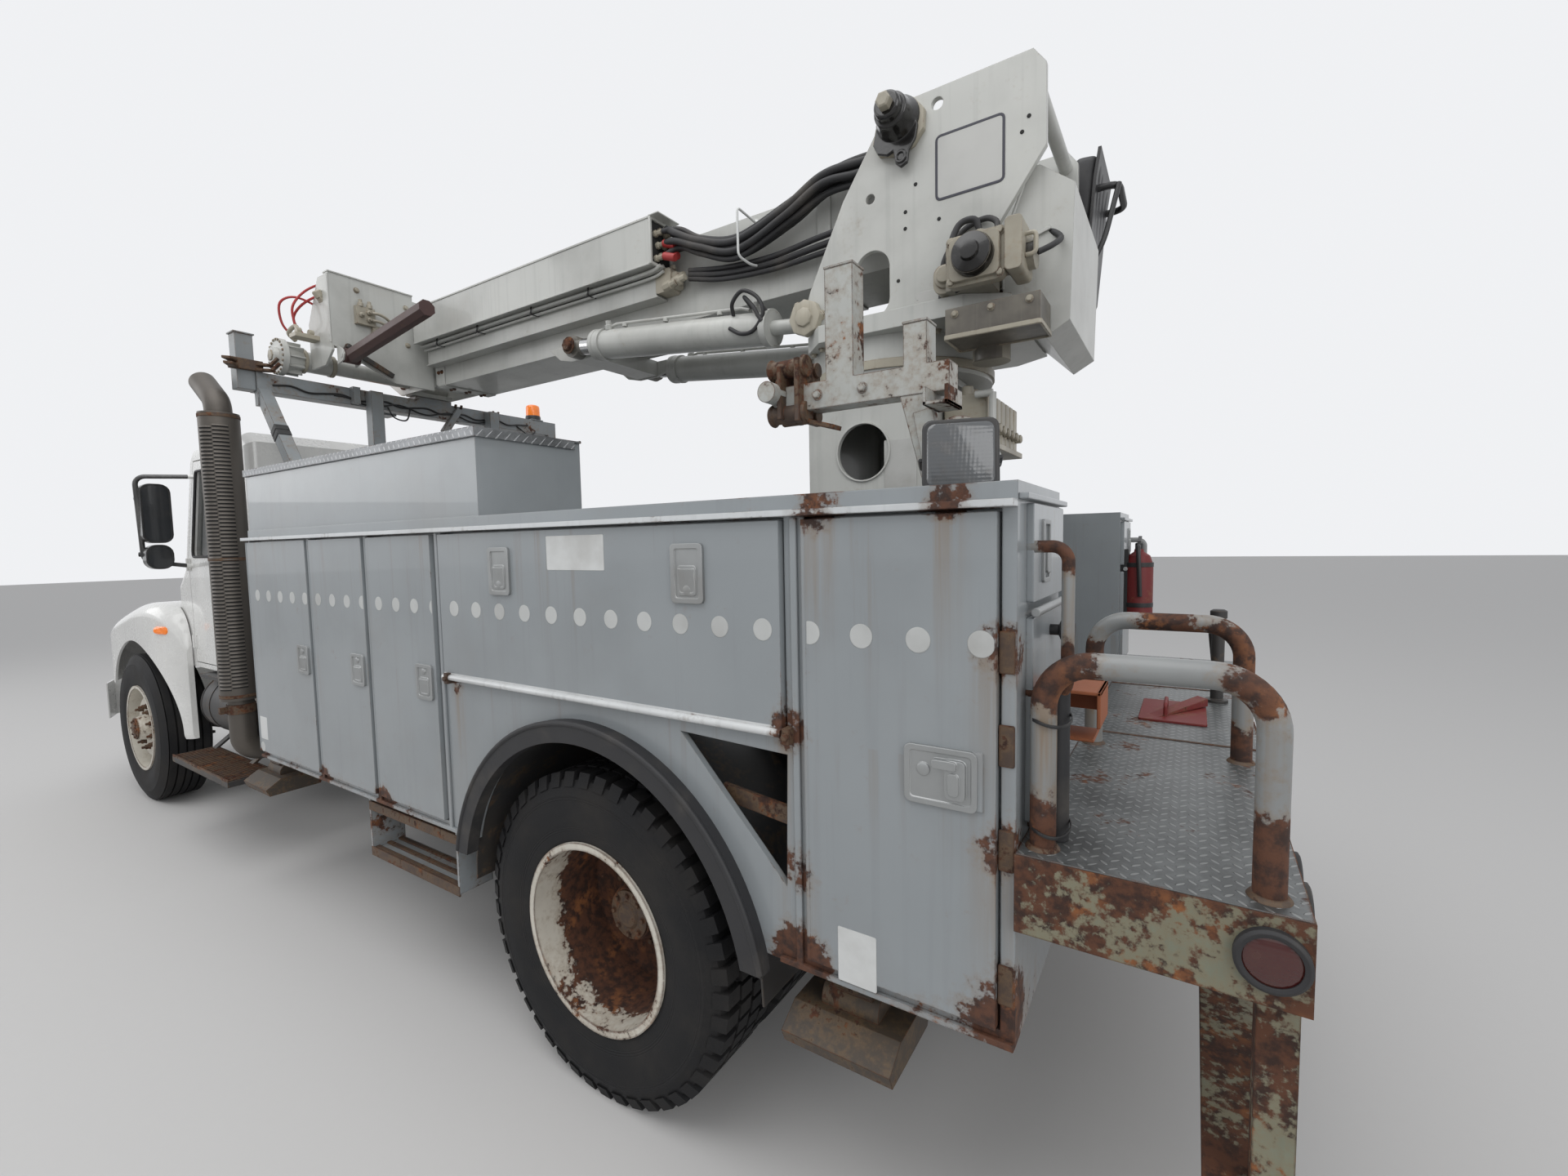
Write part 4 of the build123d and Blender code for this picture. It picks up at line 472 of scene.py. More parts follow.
class Shape:
    # closed forms gathered into one mesh, in the truck's own frame
    def __init__(self):
        self.points = []
        self.faces = []

    def add(self, points, faces):
        start = len(self.points)
        self.points += [tuple(point) for point in points]
        self.faces += [[start + corner for corner in face] for face in faces]
        return self

    def skin(self, rings, loop=False):
        # quads between rings of equally many points, capped unless the row closes on itself
        count = len(rings[0])
        rows = len(rings)
        faces = []
        for row in range(rows if loop else rows - 1):
            here = row * count
            there = (row + 1) % rows * count
            for step in range(count):
                beside = (step + 1) % count
                faces.append((here + step, here + beside, there + beside, there + step))
        if not loop:
            faces.append(range(count))
            faces.append(range((rows - 1) * count, rows * count))
        return self.add([point for ring in rings for point in ring], faces)

    def box(self, x, y, z):
        return self.skin([[(x[0], y[0], height), (x[1], y[0], height), (x[1], y[1], height), (x[0], y[1], height)]
            for height in z])

    def plate(self, outline, axis, span):
        return self.skin([[lift(point, axis, along) for point in outline] for along in span])

    def band(self, outer, inner, axis, span):
        # a flat ring between two outlines of equally many points
        return self.skin([[lift(outside, axis, span[0]), lift(outside, axis, span[1]), lift(inside, axis, span[1]),
            lift(inside, axis, span[0])] for outside, inside in zip(outer, inner)], loop=True)

    def turned(self, centre, direction, outline, sides=28, loop=False):
        # an outline of (distance along, radius), round a line; loop closes the outline as a ring does
        centre = Vector(centre)
        along, across, other = axisFrame(direction)
        spokes = [across * math.cos(turn) + other * math.sin(turn) for turn in turns(sides)]
        if loop:
            return self.skin([[centre + along * distance + spoke * radius for distance, radius in outline]
                for spoke in spokes], loop=True)
        return self.skin([[centre + along * distance + spoke * radius for spoke in spokes]
            for distance, radius in outline])

    def pane(self, centre, size, corner, axis, span):
        # a plate with round corners
        return self.plate(rounded(centre, size, corner), axis, span)

    def border(self, centre, outer, inner, axis, span):
        # a flat ring between two rounded rectangles, each as (size, corner)
        return self.band(rounded(centre, *outer), rounded(centre, *inner), axis, span)

    def hoop(self, centre, direction, inner, outer, width, sides):
        outline = ((0, inner), (0.0, outer), (width, outer), (width, inner))
        return self.turned(centre, direction, outline, sides, loop=True)

    def rod(self, start, end, radius, sides=20):
        run = Vector(end) - Vector(start)
        return self.turned(start, run, ((0, radius), (run.length, radius)), sides)

    def tube(self, path, radius, sides=12):
        path = [Vector(point) for point in path]
        across = axisFrame(path[1] - path[0])[1]
        rings = []
        for step, point in enumerate(path):
            along = (path[min(step + 1, len(path) - 1)] - path[max(step - 1, 0)]).normalized()
            across = (across - along * across.dot(along)).normalized()
            other = along.cross(across)
            rings.append([point + (across * math.cos(turn) + other * math.sin(turn)) * radius for turn in turns(sides)])
        return self.skin(rings)

    def hose(self, points, radius, sides=12):
        return self.tube(smoothPath(points), radius, sides)

    def bent(self, points, bend, radius, sides=12):
        return self.tube(bentPath(points, bend), radius, sides)

    def beam(self, start, end, across, deep):
        # a square bar, across wide in the level direction
        along, side, up = axisFrame(Vector(end) - Vector(start))
        corners = [side * (sx * across / 2) + up * (sy * deep / 2) for sx, sy in ((-1, -1), (1, -1), (1, 1), (-1, 1))]
        return self.skin([[Vector(point) + corner for corner in corners] for point in (start, end)])

    def bolt(self, at, direction, radius, height=None):
        # a washer with a six-sided head on it
        washer = 1.35
        height = height or radius * 1.1
        self.turned(at, direction, ((0, radius * washer), (radius * 0.2, radius * washer)), 16)
        return self.turned(at, direction, ((radius * 0.2, radius), (height * 0.85, radius), (height, radius * 0.85)), 6)

    def done(self, name, body, slot, finish=None, bevel=0.0, crease=35, replaces=()):
        mesh = bpy.data.meshes.new(name)
        mesh.from_pydata(self.points, [], self.faces)
        work = bmesh.new()
        work.from_mesh(mesh)
        bmesh.ops.recalc_face_normals(work, faces=work.faces)
        work.to_mesh(mesh)
        work.free()
        mesh.shade_smooth()
        mesh.set_sharp_from_angle(angle=math.radians(crease))
        mesh.materials.append(finish or finishes[slot])
        made = bpy.data.objects.new(name, mesh)
        bpy.context.scene.collection.objects.link(made)
        if bevel:
            edges = made.modifiers.new("edges", "BEVEL")
            edges.width = bevel
            edges.segments = 2
            edges.limit_method = "ANGLE"
            edges.angle_limit = math.radians(crease)
            edges.harden_normals = True
        if body:
            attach(made, body)
        if replaces:
            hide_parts(*replaces)
        return made


# Tyres and wheel fittings
tyreSize = {"radius": axleHeight, "base": 0.497, "around": 92, "lugs": 46, "middleLugs": 58}
# one sidewall as (distance from the tyre's middle, radius), from the bead to the shoulder
sidewall = ((0.117, 0.2895), (0.123, 0.296), (0.1275, 0.312), (0.1275, 0.322), (0.1335, 0.346), (0.138, 0.385),
            (0.1385, 0.415), (0.135, 0.44), (0.1355, 0.446), (0.1315, 0.455), (0.127, 0.472), (0.118, 0.49))
# rows of lugs as (near edge, far edge, share of the pitch filled, turn in pitches)
lugRows = ((-0.056, -0.004, 0.8, 0.0), (0.004, 0.056, 0.8, 0.5))
ribs = ((-0.104, -0.068), (-0.058, -0.024), (-0.014, 0.014), (0.024, 0.058), (0.068, 0.104))


def onTyre(axleX, y, angle, radius):
    return (axleX + radius * math.cos(angle), y, tyreSize["radius"] + radius * math.sin(angle))


def addLug(shape, axleX, middle, low, high, angle, half):
    # low and high are the lug's two edges as (distance from the middle at the foot, at the top, foot's radius)
    rings = []
    for level, squeeze in ((0, 1.0), (1, 0.94)):
        ring = []
        for edge, turn in ((low, -half), (low, half), (high, half), (high, -half)):
            radius = tyreSize["radius"] if level else edge[2]
            ring.append(onTyre(axleX, middle + edge[level], angle + turn * squeeze, radius))
        rings.append(ring)
    shape.skin(rings)


def addTyre(shape, axleX, middle, driven):
    top = tyreSize["radius"]
    base = tyreSize["base"]
    outline = [(-distance, radius) for distance, radius in sidewall]
    if driven:
        outline += [(-0.1, base), (-0.03, base), (0.03, base), (0.1, base)]
    else:
        outline += [(-0.11, top - 0.006)]
        for low, high in ribs:
            outline += [(low - 0.001, base), (low, top), (high, top), (high + 0.001, base)]
        outline += [(0.11, top - 0.006)]
    outline += [(distance, radius) for distance, radius in reversed(sidewall)]
    rings = [[onTyre(axleX, middle + distance, turn, radius) for distance, radius in outline]
        for turn in turns(tyreSize["around"], 0.5)]
    shape.skin(rings, loop=True)
    if not driven:
        return
    for side in (-1, 1):
        pitch = 2 * math.pi / tyreSize["lugs"]
        low = (side * 0.06, side * 0.064, base - 0.004)
        high = (side * 0.1315, side * 0.115, 0.473)
        for turn in turns(tyreSize["lugs"], 0.25 * side):
            addLug(shape, axleX, middle, low, high, turn, pitch * 0.34)
    for low, high, fill, offset in lugRows:
        pitch = 2 * math.pi / tyreSize["middleLugs"]
        for turn in turns(tyreSize["middleLugs"], offset):
            addLug(shape, axleX, middle, (low, low + 0.002, base - 0.004), (high, high - 0.002, base - 0.004), turn,
                pitch * 0.5 * fill)


def addHubFittings(shape, axleX, side, face, hubEnd, hubRadius):
    # ten nuts on their studs, and the bolted hub cap
    outward = (0, side, 0)
    for turn in turns(10, 0.5):
        at = onTyre(axleX, side * face, turn, 0.1425)
        shape.turned(at, outward, ((0, 0.021), (0.005, 0.021), (0.006, 0.0165), (0.024, 0.0165), (0.026, 0.014)), 6)
        shape.turned(at, outward, ((0.02, 0.009), (0.042, 0.009), (0.044, 0.007)), 10)
    shape.turned((axleX, side * hubEnd, tyreSize["radius"]), outward,
        ((-0.004, hubRadius), (0.007, hubRadius), (0.009, hubRadius - 0.004), (0.009, 0.045), (0.017, 0.036),
        (0.018, 0.01)), 32)
    for turn in turns(8):
        shape.bolt(onTyre(axleX, side * (hubEnd + 0.008), turn, hubRadius - 0.016), outward, 0.008)


for name, side in sides:
    front = Shape()
    addTyre(front, frontAxle, side * 1.02, False)
    front.done("tyreFront" + name.title(), "wheel_front_" + name, "tyre", crease=28, replaces=("tyre_front_" + name,))
    rear = Shape()
    for middle in (0.72, 1.05):
        addTyre(rear, rearAxle, side * middle, True)
    rear.done("tyresRear" + name.title(), "wheels_rear_" + name, "tyre", crease=28, replaces=("tyres_rear_" + name,))
    hub = Shape()
    addHubFittings(hub, frontAxle, side, 1.108, 1.17, 0.074)
    hub.done("hubFront" + name.title(), "wheel_front_" + name, "rim_white", agedSteel)
    hub = Shape()
    addHubFittings(hub, rearAxle, side, 0.895, 1.02, 0.08)
    hub.done("hubRear" + name.title(), "wheels_rear_" + name, "rim_white", agedSteel)
print("tyres and hubs")


# Cabinet doors: latches, reflective dots, labels and the trim round them
doorFace = 1.22
latchSize = {"outer": (0.104, 0.128), "border": 0.013, "corner": 0.012, "height": 1.245, "inset": 0.07}
dotRow = {"height": 1.516, "pitch": 0.1265, "radius": 0.0265, "start": -1.397, "thick": 0.0006}
# doors as (node's name without its side, body's name without its side, rear x, front x)
doorsLeft = (("1", -0.283, 0.343), ("2", -0.775, -0.319), ("3", -1.263, -0.811), ("rear", -3.197, -2.777))
doorsRight = (("1", -0.283, 0.343), ("2", -1.263, -0.319), ("rear", -3.197, -2.777))
dropDoor = {"rear": -2.71, "front": -1.315, "latches": (-1.665, -2.44), "latchHeight": 1.645}


def stuckOn(side):  # how deep a label or a dot sits on a door's face
    return side * (doorFace - 0.001), side * (doorFace + dotRow["thick"])


def addLatch(shape, x, z, side, size, lock=0.3):
    # a pressed ring round a dish, with the paddle standing out of it and a lock above
    border = latchSize["border"]
    outer = rounded((x, z), size, latchSize["corner"])
    inner = rounded((x, z), (size[0] - 2 * border, size[1] - 2 * border), latchSize["corner"] * 0.6)
    face = side * doorFace
    shape.band(outer, inner, 1, (face - side * 0.001, face + side * 0.009))
    shape.pane((x, z), (size[0] - border, size[1] - border), 0.008, 1, (face, face + side * 0.0056))
    shape.border((x, z - size[1] * 0.12), ((size[0] * 0.56, size[1] * 0.5), 0.008),
        ((size[0] * 0.44, size[1] * 0.4), 0.006), 1, (face + side * 0.005, face + side * 0.0085))
    shape.skin([[(x - size[0] * 0.25, face + side * depth, z - size[1] * 0.34),
        (x + size[0] * 0.25, face + side * depth, z - size[1] * 0.34),
        (x + size[0] * 0.25, face + side * (depth + rise), z + size[1] * 0.08),
        (x - size[0] * 0.25, face + side * (depth + rise), z + size[1] * 0.08)]
        for depth, rise in ((0.005, 0.0), (0.0075, 0.0045))])
    shape.turned((x, face + side * 0.005, z + size[1] * lock), (0, side, 0),
        ((0, 0.012), (0.003, 0.012), (0.0042, 0.01)), 16)


def addDots(shape, rear, front, side):
    # each dot is cut off where its door ends
    radius = dotRow["radius"]
    for count in range(-16, 16):
        x = dotRow["start"] + count * dotRow["pitch"]
        if rear - radius * 0.4 < x < front + radius * 0.4:
            outline = [(min(max(px, rear + 0.004), front - 0.004), pz)
                for px, pz in circle((x, dotRow["height"]), radius)]
            shape.plate(outline, 1, stuckOn(side))


for name, side in sides:
    for door, rear, front in (doorsLeft if side > 0 else doorsRight):
        body = f"cabinet_door_{name}_{door}"
        latch = Shape()
        if door == "rear":
            # the T handle folds into a wide dish with its lock beside it
            x, z = -3.088, 1.243
            size = (0.15, 0.122)
            face = side * doorFace
            latch.border((x, z), (size, 0.014), ((0.126, 0.098), 0.008), 1, (face - side * 0.001, face + side * 0.008))
            latch.pane((x, z), (0.136, 0.108), 0.01, 1, (face, face + side * 0.0056))
            latch.pane((x - 0.032, z), (0.042, 0.08), 0.01, 1, (face + side * 0.004, face + side * 0.014))
            latch.pane((x - 0.012, z + 0.03), (0.05, 0.018), 0.006, 1, (face + side * 0.005, face + side * 0.02))
            latch.pane((x - 0.03, z - 0.008), (0.022, 0.046), 0.008, 1, (face + side * 0.013, face + side * 0.018))
            latch.turned((x + 0.034, face + side * 0.005, z + 0.012), (0, side, 0),
                ((0, 0.014), (0.004, 0.014), (0.0055, 0.011)), 20)
            label = Shape().pane((-2.897, 0.794), (0.094, 0.126), 0.004, 1, stuckOn(side))
            label.done(f"label{name.title()}Rear", body, "body_grey", labelWhite)
        else:
            addLatch(latch, rear + latchSize["inset"], latchSize["height"], side, latchSize["outer"])
        latch.done(f"latch{name.title()}{door.title()}", body, "body_grey", zinc, bevel=0.0008)
        dots = Shape()
        addDots(dots, rear, front, side)
        if door == "1":
            dots.plate(circle((0.316, 0.772), 0.024), 1, stuckOn(side))
            label = Shape().pane((0.29, 0.868), (0.08, 0.11), 0.004, 1, stuckOn(side))
            label.done(f"label{name.title()}Front", body, "body_grey", labelWhite)
        dots.done(f"dots{name.title()}{door.title()}", body, "body_grey", reflector)
    body = f"drop_door_{name}"
    latch = Shape()
    for x in dropDoor["latches"]:
        addLatch(latch, x, dropDoor["latchHeight"], side, (0.104, 0.15), lock=-0.28)
    latch.done(f"latch{name.title()}Drop", body, "body_grey", zinc, bevel=0.0008)
    dots = Shape()
    addDots(dots, dropDoor["rear"], dropDoor["front"], side)
    dots.done(f"dots{name.title()}Drop", body, "body_grey", reflector)
    label = Shape().pane((-2.016, 1.7), (0.244, 0.1), 0.004, 1, stuckOn(side))
    label.done(f"label{name.title()}Drop", body, "body_grey", labelWhite)

# Fixed trim of the cabinets: folded posts between the doors, hinge leaves, brackets of the drop door's rod
arch = {"x": -2.015, "z": 0.56, "steps": 28, "roll": 0.645, "rollY": 1.243}
# the liner's curved sheet and its inner wall as (radius, y)
linerSections = (((0.606, 1.196), (0.612, 1.196), (0.612, 0.52), (0.606, 0.52)),
                 ((0.606, 0.526), (0.606, 0.52), (0.53, 0.52), (0.53, 0.526)))
postSpans = {1: ((-0.319, -0.283), (-0.811, -0.775), (-1.315, -1.263), (-2.777, -2.71)),
             -1: ((-0.319, -0.283), (-1.315, -1.263), (-2.777, -2.71))}


def onArch(radius, turn, y):
    return (arch["x"] + radius * math.cos(turn), y, arch["z"] + radius * math.sin(turn))


for name, side in sides:
    skinY = side * 1.205
    trim = Shape()
    for rear, front in postSpans[side]:
        middle = (rear + front) / 2
        trim.box((middle - 0.009, middle + 0.009), sorted((skinY, skinY + side * 0.008)), (0.72, 1.773))
    for rear, front in ((-3.231, -2.69), (-1.335, 0.357)):
        trim.box((rear, front), sorted((skinY, skinY + side * 0.012)), (0.714, 0.728))
    trim.done(f"doorPosts{name.title()}", "chassis", "body_grey", bevel=0.002)
    rusty = Shape()
    for z in (1.501, 1.32, 1.113, 0.84):
        rusty.pane((-3.2135, z), (0.03, 0.082), 0.004, 1, (skinY, skinY + side * 0.0035))
    for x in (-1.345, -2.728):
        rusty.box((x - 0.01, x + 0.01), sorted((skinY, skinY + side * 0.03)), (1.255, 1.292))
        rusty.bolt((x, skinY + side * 0.028, 1.273), (0, side, 0), 0.009)
    rusty.beam((-2.49, side * 1.16, 1.078), (-2.712, side * 1.16, 1.052), 0.012, 0.045)
    rusty.done(f"hingeLeaves{name.title()}", "chassis", "rusty_steel", agedSteel, bevel=0.001)
    # pressed liner over the twin wheels, and the flare's rolled edge
    liner = Shape()
    for section in linerSections:
        liner.skin([[onArch(radius, math.pi * step / arch["steps"], side * y) for radius, y in section]
            for step in range(arch["steps"] + 1)])
    liner.done(f"wheelLiner{name.title()}", "chassis", "frame_black")
    roll = Shape()
    roll.tube([onArch(arch["roll"], math.pi * (0.06 + 0.88 * step / 40), side * arch["rollY"]) for step in range(41)],
        0.009, 10)
    roll.done(f"flareRoll{name.title()}", "chassis", "black_rubber")
print("cabinets")

# Rear faces of the cabinets: small doors with their latches, knobs, hinges and the plate's holder
rearFace = -3.231
rearDoors = ((1.59, 1.785), (1.145, 1.56))
for name, side in sides:
    panels = Shape()
    for low, high in rearDoors:
        panels.pane((side * 0.965, (low + high) / 2), (0.33, high - low), 0.006, 0,
            (rearFace + 0.001, rearFace - 0.014))
    panels.box((rearFace - 0.018, rearFace), spanOn(side, 0.77, 1.2), (1.79, 1.802))
    panels.done(f"rearDoors{name.title()}", "chassis", "body_grey", bevel=0.002)
    fittings = Shape()
    fittings.border((side * 1.02, 1.69), ((0.07, 0.13), 0.008), ((0.05, 0.11), 0.006), 0,
        (rearFace - 0.013, rearFace - 0.02))
    fittings.pane((side * 1.02, 1.675), (0.034, 0.06), 0.006, 0, (rearFace - 0.013, rearFace - 0.024))
    fittings.rod((rearFace - 0.02, side * 0.8, 1.572), (rearFace - 0.02, side * 1.14, 1.572), 0.009)
    fittings.done(f"rearLatch{name.title()}", "chassis", "body_grey", zinc, bevel=0.001)
    knob = Shape().turned((rearFace - 0.012, side * 0.952, 1.516), (-1, 0, 0),
        ((0, 0.012), (0.02, 0.012), (0.024, 0.021), (0.044, 0.023), (0.052, 0.016)), 20)
    knob.done(f"rearKnob{name.title()}", "chassis", "black_plastic")

plateAt = (0.94, 1.215)
plate = Shape().pane(plateAt, (0.305, 0.155), 0.012, 0, (rearFace - 0.012, rearFace - 0.0135))
plate.done("blankPlate", "chassis", "body_grey", labelWhite)
holder = Shape().pane(plateAt, (0.33, 0.18), 0.006, 0, (rearFace, rearFace - 0.012))
holder.done("plateHolder", "chassis", "rusty_steel", agedSteel, bevel=0.001)
bracket = Shape()
bracket.box((-3.345, rearFace), (0.79, 0.93), (1.372, 1.38))
bracket.box((-3.345, -3.337), (0.79, 0.93), (1.3, 1.38))
bracket.box((-3.337, rearFace), (0.79, 0.798), (1.31, 1.38))
bracket.box((-3.33, rearFace), (0.81, 0.91), (1.262, 1.27))
bracket.done("rearBracket", "chassis", "rusty_steel", rustOrange, bevel=0.002)
print("rear faces")


# Tail shelf: its tread plate, lamps, hatch, tube and straps
tailDeck = {"low": 1.1165, "high": 1.1195, "rear": -3.677, "front": -3.233, "half": 1.218}
deckPlate = Shape()
for low, high in ((-tailDeck["half"], -0.48), (-0.474, 0.282), (0.288, tailDeck["half"])):
    deckPlate.box((tailDeck["rear"], tailDeck["front"]), (low, high), (tailDeck["low"], tailDeck["high"]))
deckPlate.done("tailTread", "chassis", "tread_plate", tailTread, bevel=0.001)
welds = Shape()
for y in (0.285, -0.477):
    welds.beam((-3.672, y, 1.1185), (-3.236, y, 1.1185), 0.012, 0.006)
for y in (1.165, 0.415):
    for x in (-3.624, -3.272):
        welds.turned((x, y, 1.117), (0, 0, 1), ((0, 0.034), (0.006, 0.03), (0.01, 0.026)), 24)
welds.done("tailWelds", "chassis", "rusty_steel", agedSteel)

lampHeight = 1.045
lampRings = Shape()
redLamps = Shape()
for side in (1, -1):
    at = (-3.625, side * 1.219, lampHeight)
    outward = (0, side, 0)
    lampRings.turned(at, outward, ((0, 0.052), (0.012, 0.052), (0.016, 0.047), (0.014, 0.04), (0.004, 0.04),
        (0, 0.04)), 40, loop=True)
    redLamps.turned(at, outward, ((0.0, 0.041), (0.0105, 0.041), (0.0135, 0.032), (0.0145, 0.012)), 40)
    for y in (1.06, 0.93):
        at = (-3.678, side * y, lampHeight)
        lampRings.turned(at, (-1, 0, 0), ((0, 0.062), (0.01, 0.062), (0.013, 0.057), (0.012, 0.05), (0.003, 0.05),
            (0, 0.05)), 40, loop=True)
        redLamps.turned(at, (-1, 0, 0), ((0.0, 0.051), (0.009, 0.051), (0.0115, 0.04), (0.0125, 0.012)), 40)
lampRings.done("lampRings", "chassis", "black_rubber")
redLamps.done("tailLenses", "chassis", "rusty_steel", redLens)

hatch = Shape()
hatch.pane((-3.46, -0.06), (0.19, 0.3), 0.01, 2, (1.119, 1.1265))
hatch.skin([[(-3.39, 0.02, 1.126), (-3.42, 0.06, 1.126), (-3.56, -0.16, 1.126 + rise), (-3.53, -0.2, 1.126 + rise)]
    for rise in (0.004, 0.03)])
hatch.bent(((-3.44, 0.03, 1.126), (-3.44, 0.03, 1.165), (-3.44, -0.08, 1.165), (-3.44, -0.08, 1.126)), 0.012, 0.006, 10)
hatch.done("redHatch", "chassis", "rusty_steel", redEnamel, bevel=0.001)
post = Shape()
post.turned((-3.588, -0.299, 1.117), (0, 0, 1), ((0, 0.035), (0.012, 0.035), (0.014, 0.02), (0.3, 0.02),
    (0.305, 0.026), (0.33, 0.026), (0.335, 0.018)), 24)
post.turned((-3.588, -0.345, 1.2), (0.1, 0, 1), ((0, 0.013), (0.16, 0.013), (0.165, 0.009)), 16)
post.done("hitchPost", "chassis", "frame_black", bevel=0.001)

spareTube = Shape().turned((-3.29, 1.112, 1.12), (0, 0, 1), ((0, 0.021), (0.31, 0.021), (0.31, 0.018), (0, 0.018)),
    24, loop=True)
spareTube.done("markerTube", "chassis", "black_rubber")
strapAt = (-3.281, 1.139)
straps = Shape()
for z in (1.155, 1.368):
    loop = [(strapAt[0] + 0.049 * math.cos(turn) * 0.72, strapAt[1] + 0.056 * math.sin(turn),
        z + 0.004 * math.sin(2 * turn)) for turn in turns(24)]
    straps.skin([[(x + (x - strapAt[0]) * proud, y + (y - strapAt[1]) * proud, z + rise)
        for proud, rise in ((0, -0.003), (0, 0.003), (0.07, 0.003), (0.07, -0.003))] for x, y, z in loop], loop=True)
straps.done("tubeStraps", "chassis", "black_plastic")

extinguisherAt = (-3.3, -0.86)
extinguisher = Shape()
extinguisher.turned((*extinguisherAt, 1.33), (0, 0, 1), ((0, 0.05), (0.008, 0.058), (0.26, 0.058), (0.3, 0.045),
    (0.318, 0.02), (0.33, 0.018)), 28)
extinguisher.done("extinguisher", "chassis", "rusty_steel", redEnamel)
valve = Shape()
valve.turned((*extinguisherAt, 1.655), (0, 0, 1), ((0, 0.016), (0.03, 0.016), (0.034, 0.01)), 16)
valve.beam((*extinguisherAt, 1.69), (-3.3, -0.93, 1.715), 0.014, 0.008)
valve.beam((*extinguisherAt, 1.675), (-3.3, -0.92, 1.675), 0.014, 0.006)
valve.hose(((-3.3, -0.85, 1.672), (-3.3, -0.81, 1.665), (-3.305, -0.795, 1.58), (-3.31, -0.797, 1.45)), 0.009)
valve.box((-3.262, rearFace), (-0.9, -0.82), (1.36, 1.66))
for z in (1.4, 1.58):
    valve.turned((*extinguisherAt, z), (0, 0, 1), ((0, 0.0595), (0.02, 0.0595)), 28)
valve.done("extinguisherValve", "chassis", "black_plastic", bevel=0.0008)
print("tail")


# Cab: seals, wipers, lamps, handles, mirrors, steps and the exhaust's louvres
windowLine = ((1.185, 1.7), (1.185, 2.2), (1.215, 2.23), (1.735, 2.23), (1.895, 1.74), (1.895, 1.7))
screen = {"middle": (1.9825, 0.0, 1.975), "up": (-0.331, 0.0, 0.9436), "out": (0.9436, 0.0, 0.331), "size": (1.8, 0.56)}
stackAt = (0.825, 1.14)
mirrorY = 1.17


def onScreen(across, along, proud):
    return Vector(screen["middle"]) + Vector((0, across,
        0)) + Vector(screen["up"]) * along + Vector(screen["out"]) * proud


for name, side in sides:
    body = f"cab_door_{name}"
    seal = Shape()
    corners = [(x, side * 1.001, z) for x, z in windowLine]
    path = bentPath([((corners[0][0] + corners[-1][0]) / 2, side * 1.001, 1.7)] + corners
        + [((corners[0][0] + corners[-1][0]) / 2, side * 1.001, 1.7)], 0.02)
    seal.tube(path, 0.008, 8)
    seal.box((1.17, 1.182), spanOn(side, 0.999, 1.008), (1.72, 2.2))
    seal.done("windowSeal" + name.title(), body, "black_rubber", bevel=0.001)
    handle = Shape()
    handle.border((1.27, 1.545), ((0.17, 0.075), 0.02), ((0.14, 0.048), 0.012), 1, spanOn(side, 0.999, 1.008))
    handle.pane((1.262, 1.548), (0.13, 0.03), 0.01, 1, spanOn(side, 1.002, 1.022))
    handle.turned((1.35, side * 1.0, 1.62), (0, side, 0), ((0, 0.014), (0.004, 0.014), (0.006, 0.01)), 18)
    handle.done("doorHandle" + name.title(), body, "black_plastic", bevel=0.002)
    mirrors = Shape()
    for width, height, z, corner in ((0.14, 0.36, 1.97, 0.05), (0.128, 0.15, 1.705, 0.055)):
        outer = rounded((side * mirrorY, z), (width, height), corner)
        inner = rounded((side * mirrorY, z), (width - 0.018, height - 0.018), corner - 0.009)
        mirrors.band(outer, inner, 0, (1.8395, 1.8345))
        mirrors.turned((1.905, side * mirrorY, z), (1, 0, 0), ((0, 0.03), (0.012, 0.026), (0.016, 0.012)), 20)
    for z in (1.72, 2.06):
        mirrors.turned((1.905, side * 1.19, z), (0.25, side * 0.5, 0.02), ((0, 0.014), (0.06, 0.014)), 14)
    mirrors.done("mirrorRims" + name.title(), body, "black_plastic", bevel=0.001)
    panes = Shape()
    for width, height, z, corner in ((0.122, 0.342, 1.97, 0.041), (0.11, 0.132, 1.705, 0.046)):
        panes.pane((side * mirrorY, z), (width, height), corner, 0, (1.8395, 1.837))
    panes.done("mirrorPanes" + name.title(), body, "glass", mirrorGlass)

gasket = Shape()
outline = rounded((0, 0), screen["size"], 0.06, 6)
gasket.tube([onScreen(across, along, 0.004) for across, along in outline + outline[:1]], 0.012, 8)
rearPane = rounded((0, 1.935), (1.24, 0.55), 0.02)
gasket.tube([(0.922, y, z) for y, z in rearPane + rearPane[:1]], 0.01, 8)
gasket.done("glassSeals", "chassis", "black_rubber")
wipers = Shape()
for pivotY in (0.62, -0.18):
    start = onScreen(pivotY, -0.335, 0.012)
    wipers.turned(start, screen["out"], ((-0.02, 0.02), (0.012, 0.018), (0.018, 0.01)), 16)
    wipers.beam(start + Vector(screen["out"]) * 0.012, onScreen(pivotY - 0.3, 0.02, 0.03), 0.014, 0.01)
    wipers.beam(onScreen(pivotY - 0.5, -0.1, 0.012), onScreen(pivotY - 0.06, 0.13, 0.012), 0.012, 0.014)
wipers.done("wipers", "chassis", "black_plastic", bevel=0.001)
roofLamps = Shape()
for y in (-0.62, -0.2, 0.0, 0.2, 0.62):
    roofLamps.skin([[(1.73 + x * (1 - 0.35 * level), y + across * (1 - 0.3 * level), 2.378 + level * 0.03)
        for x, across in rounded((0, 0), (0.1, 0.075), 0.03)] for level in (0, 0.6, 1)])
roofLamps.done("roofLamps", "chassis", "cab_white", amberLens)

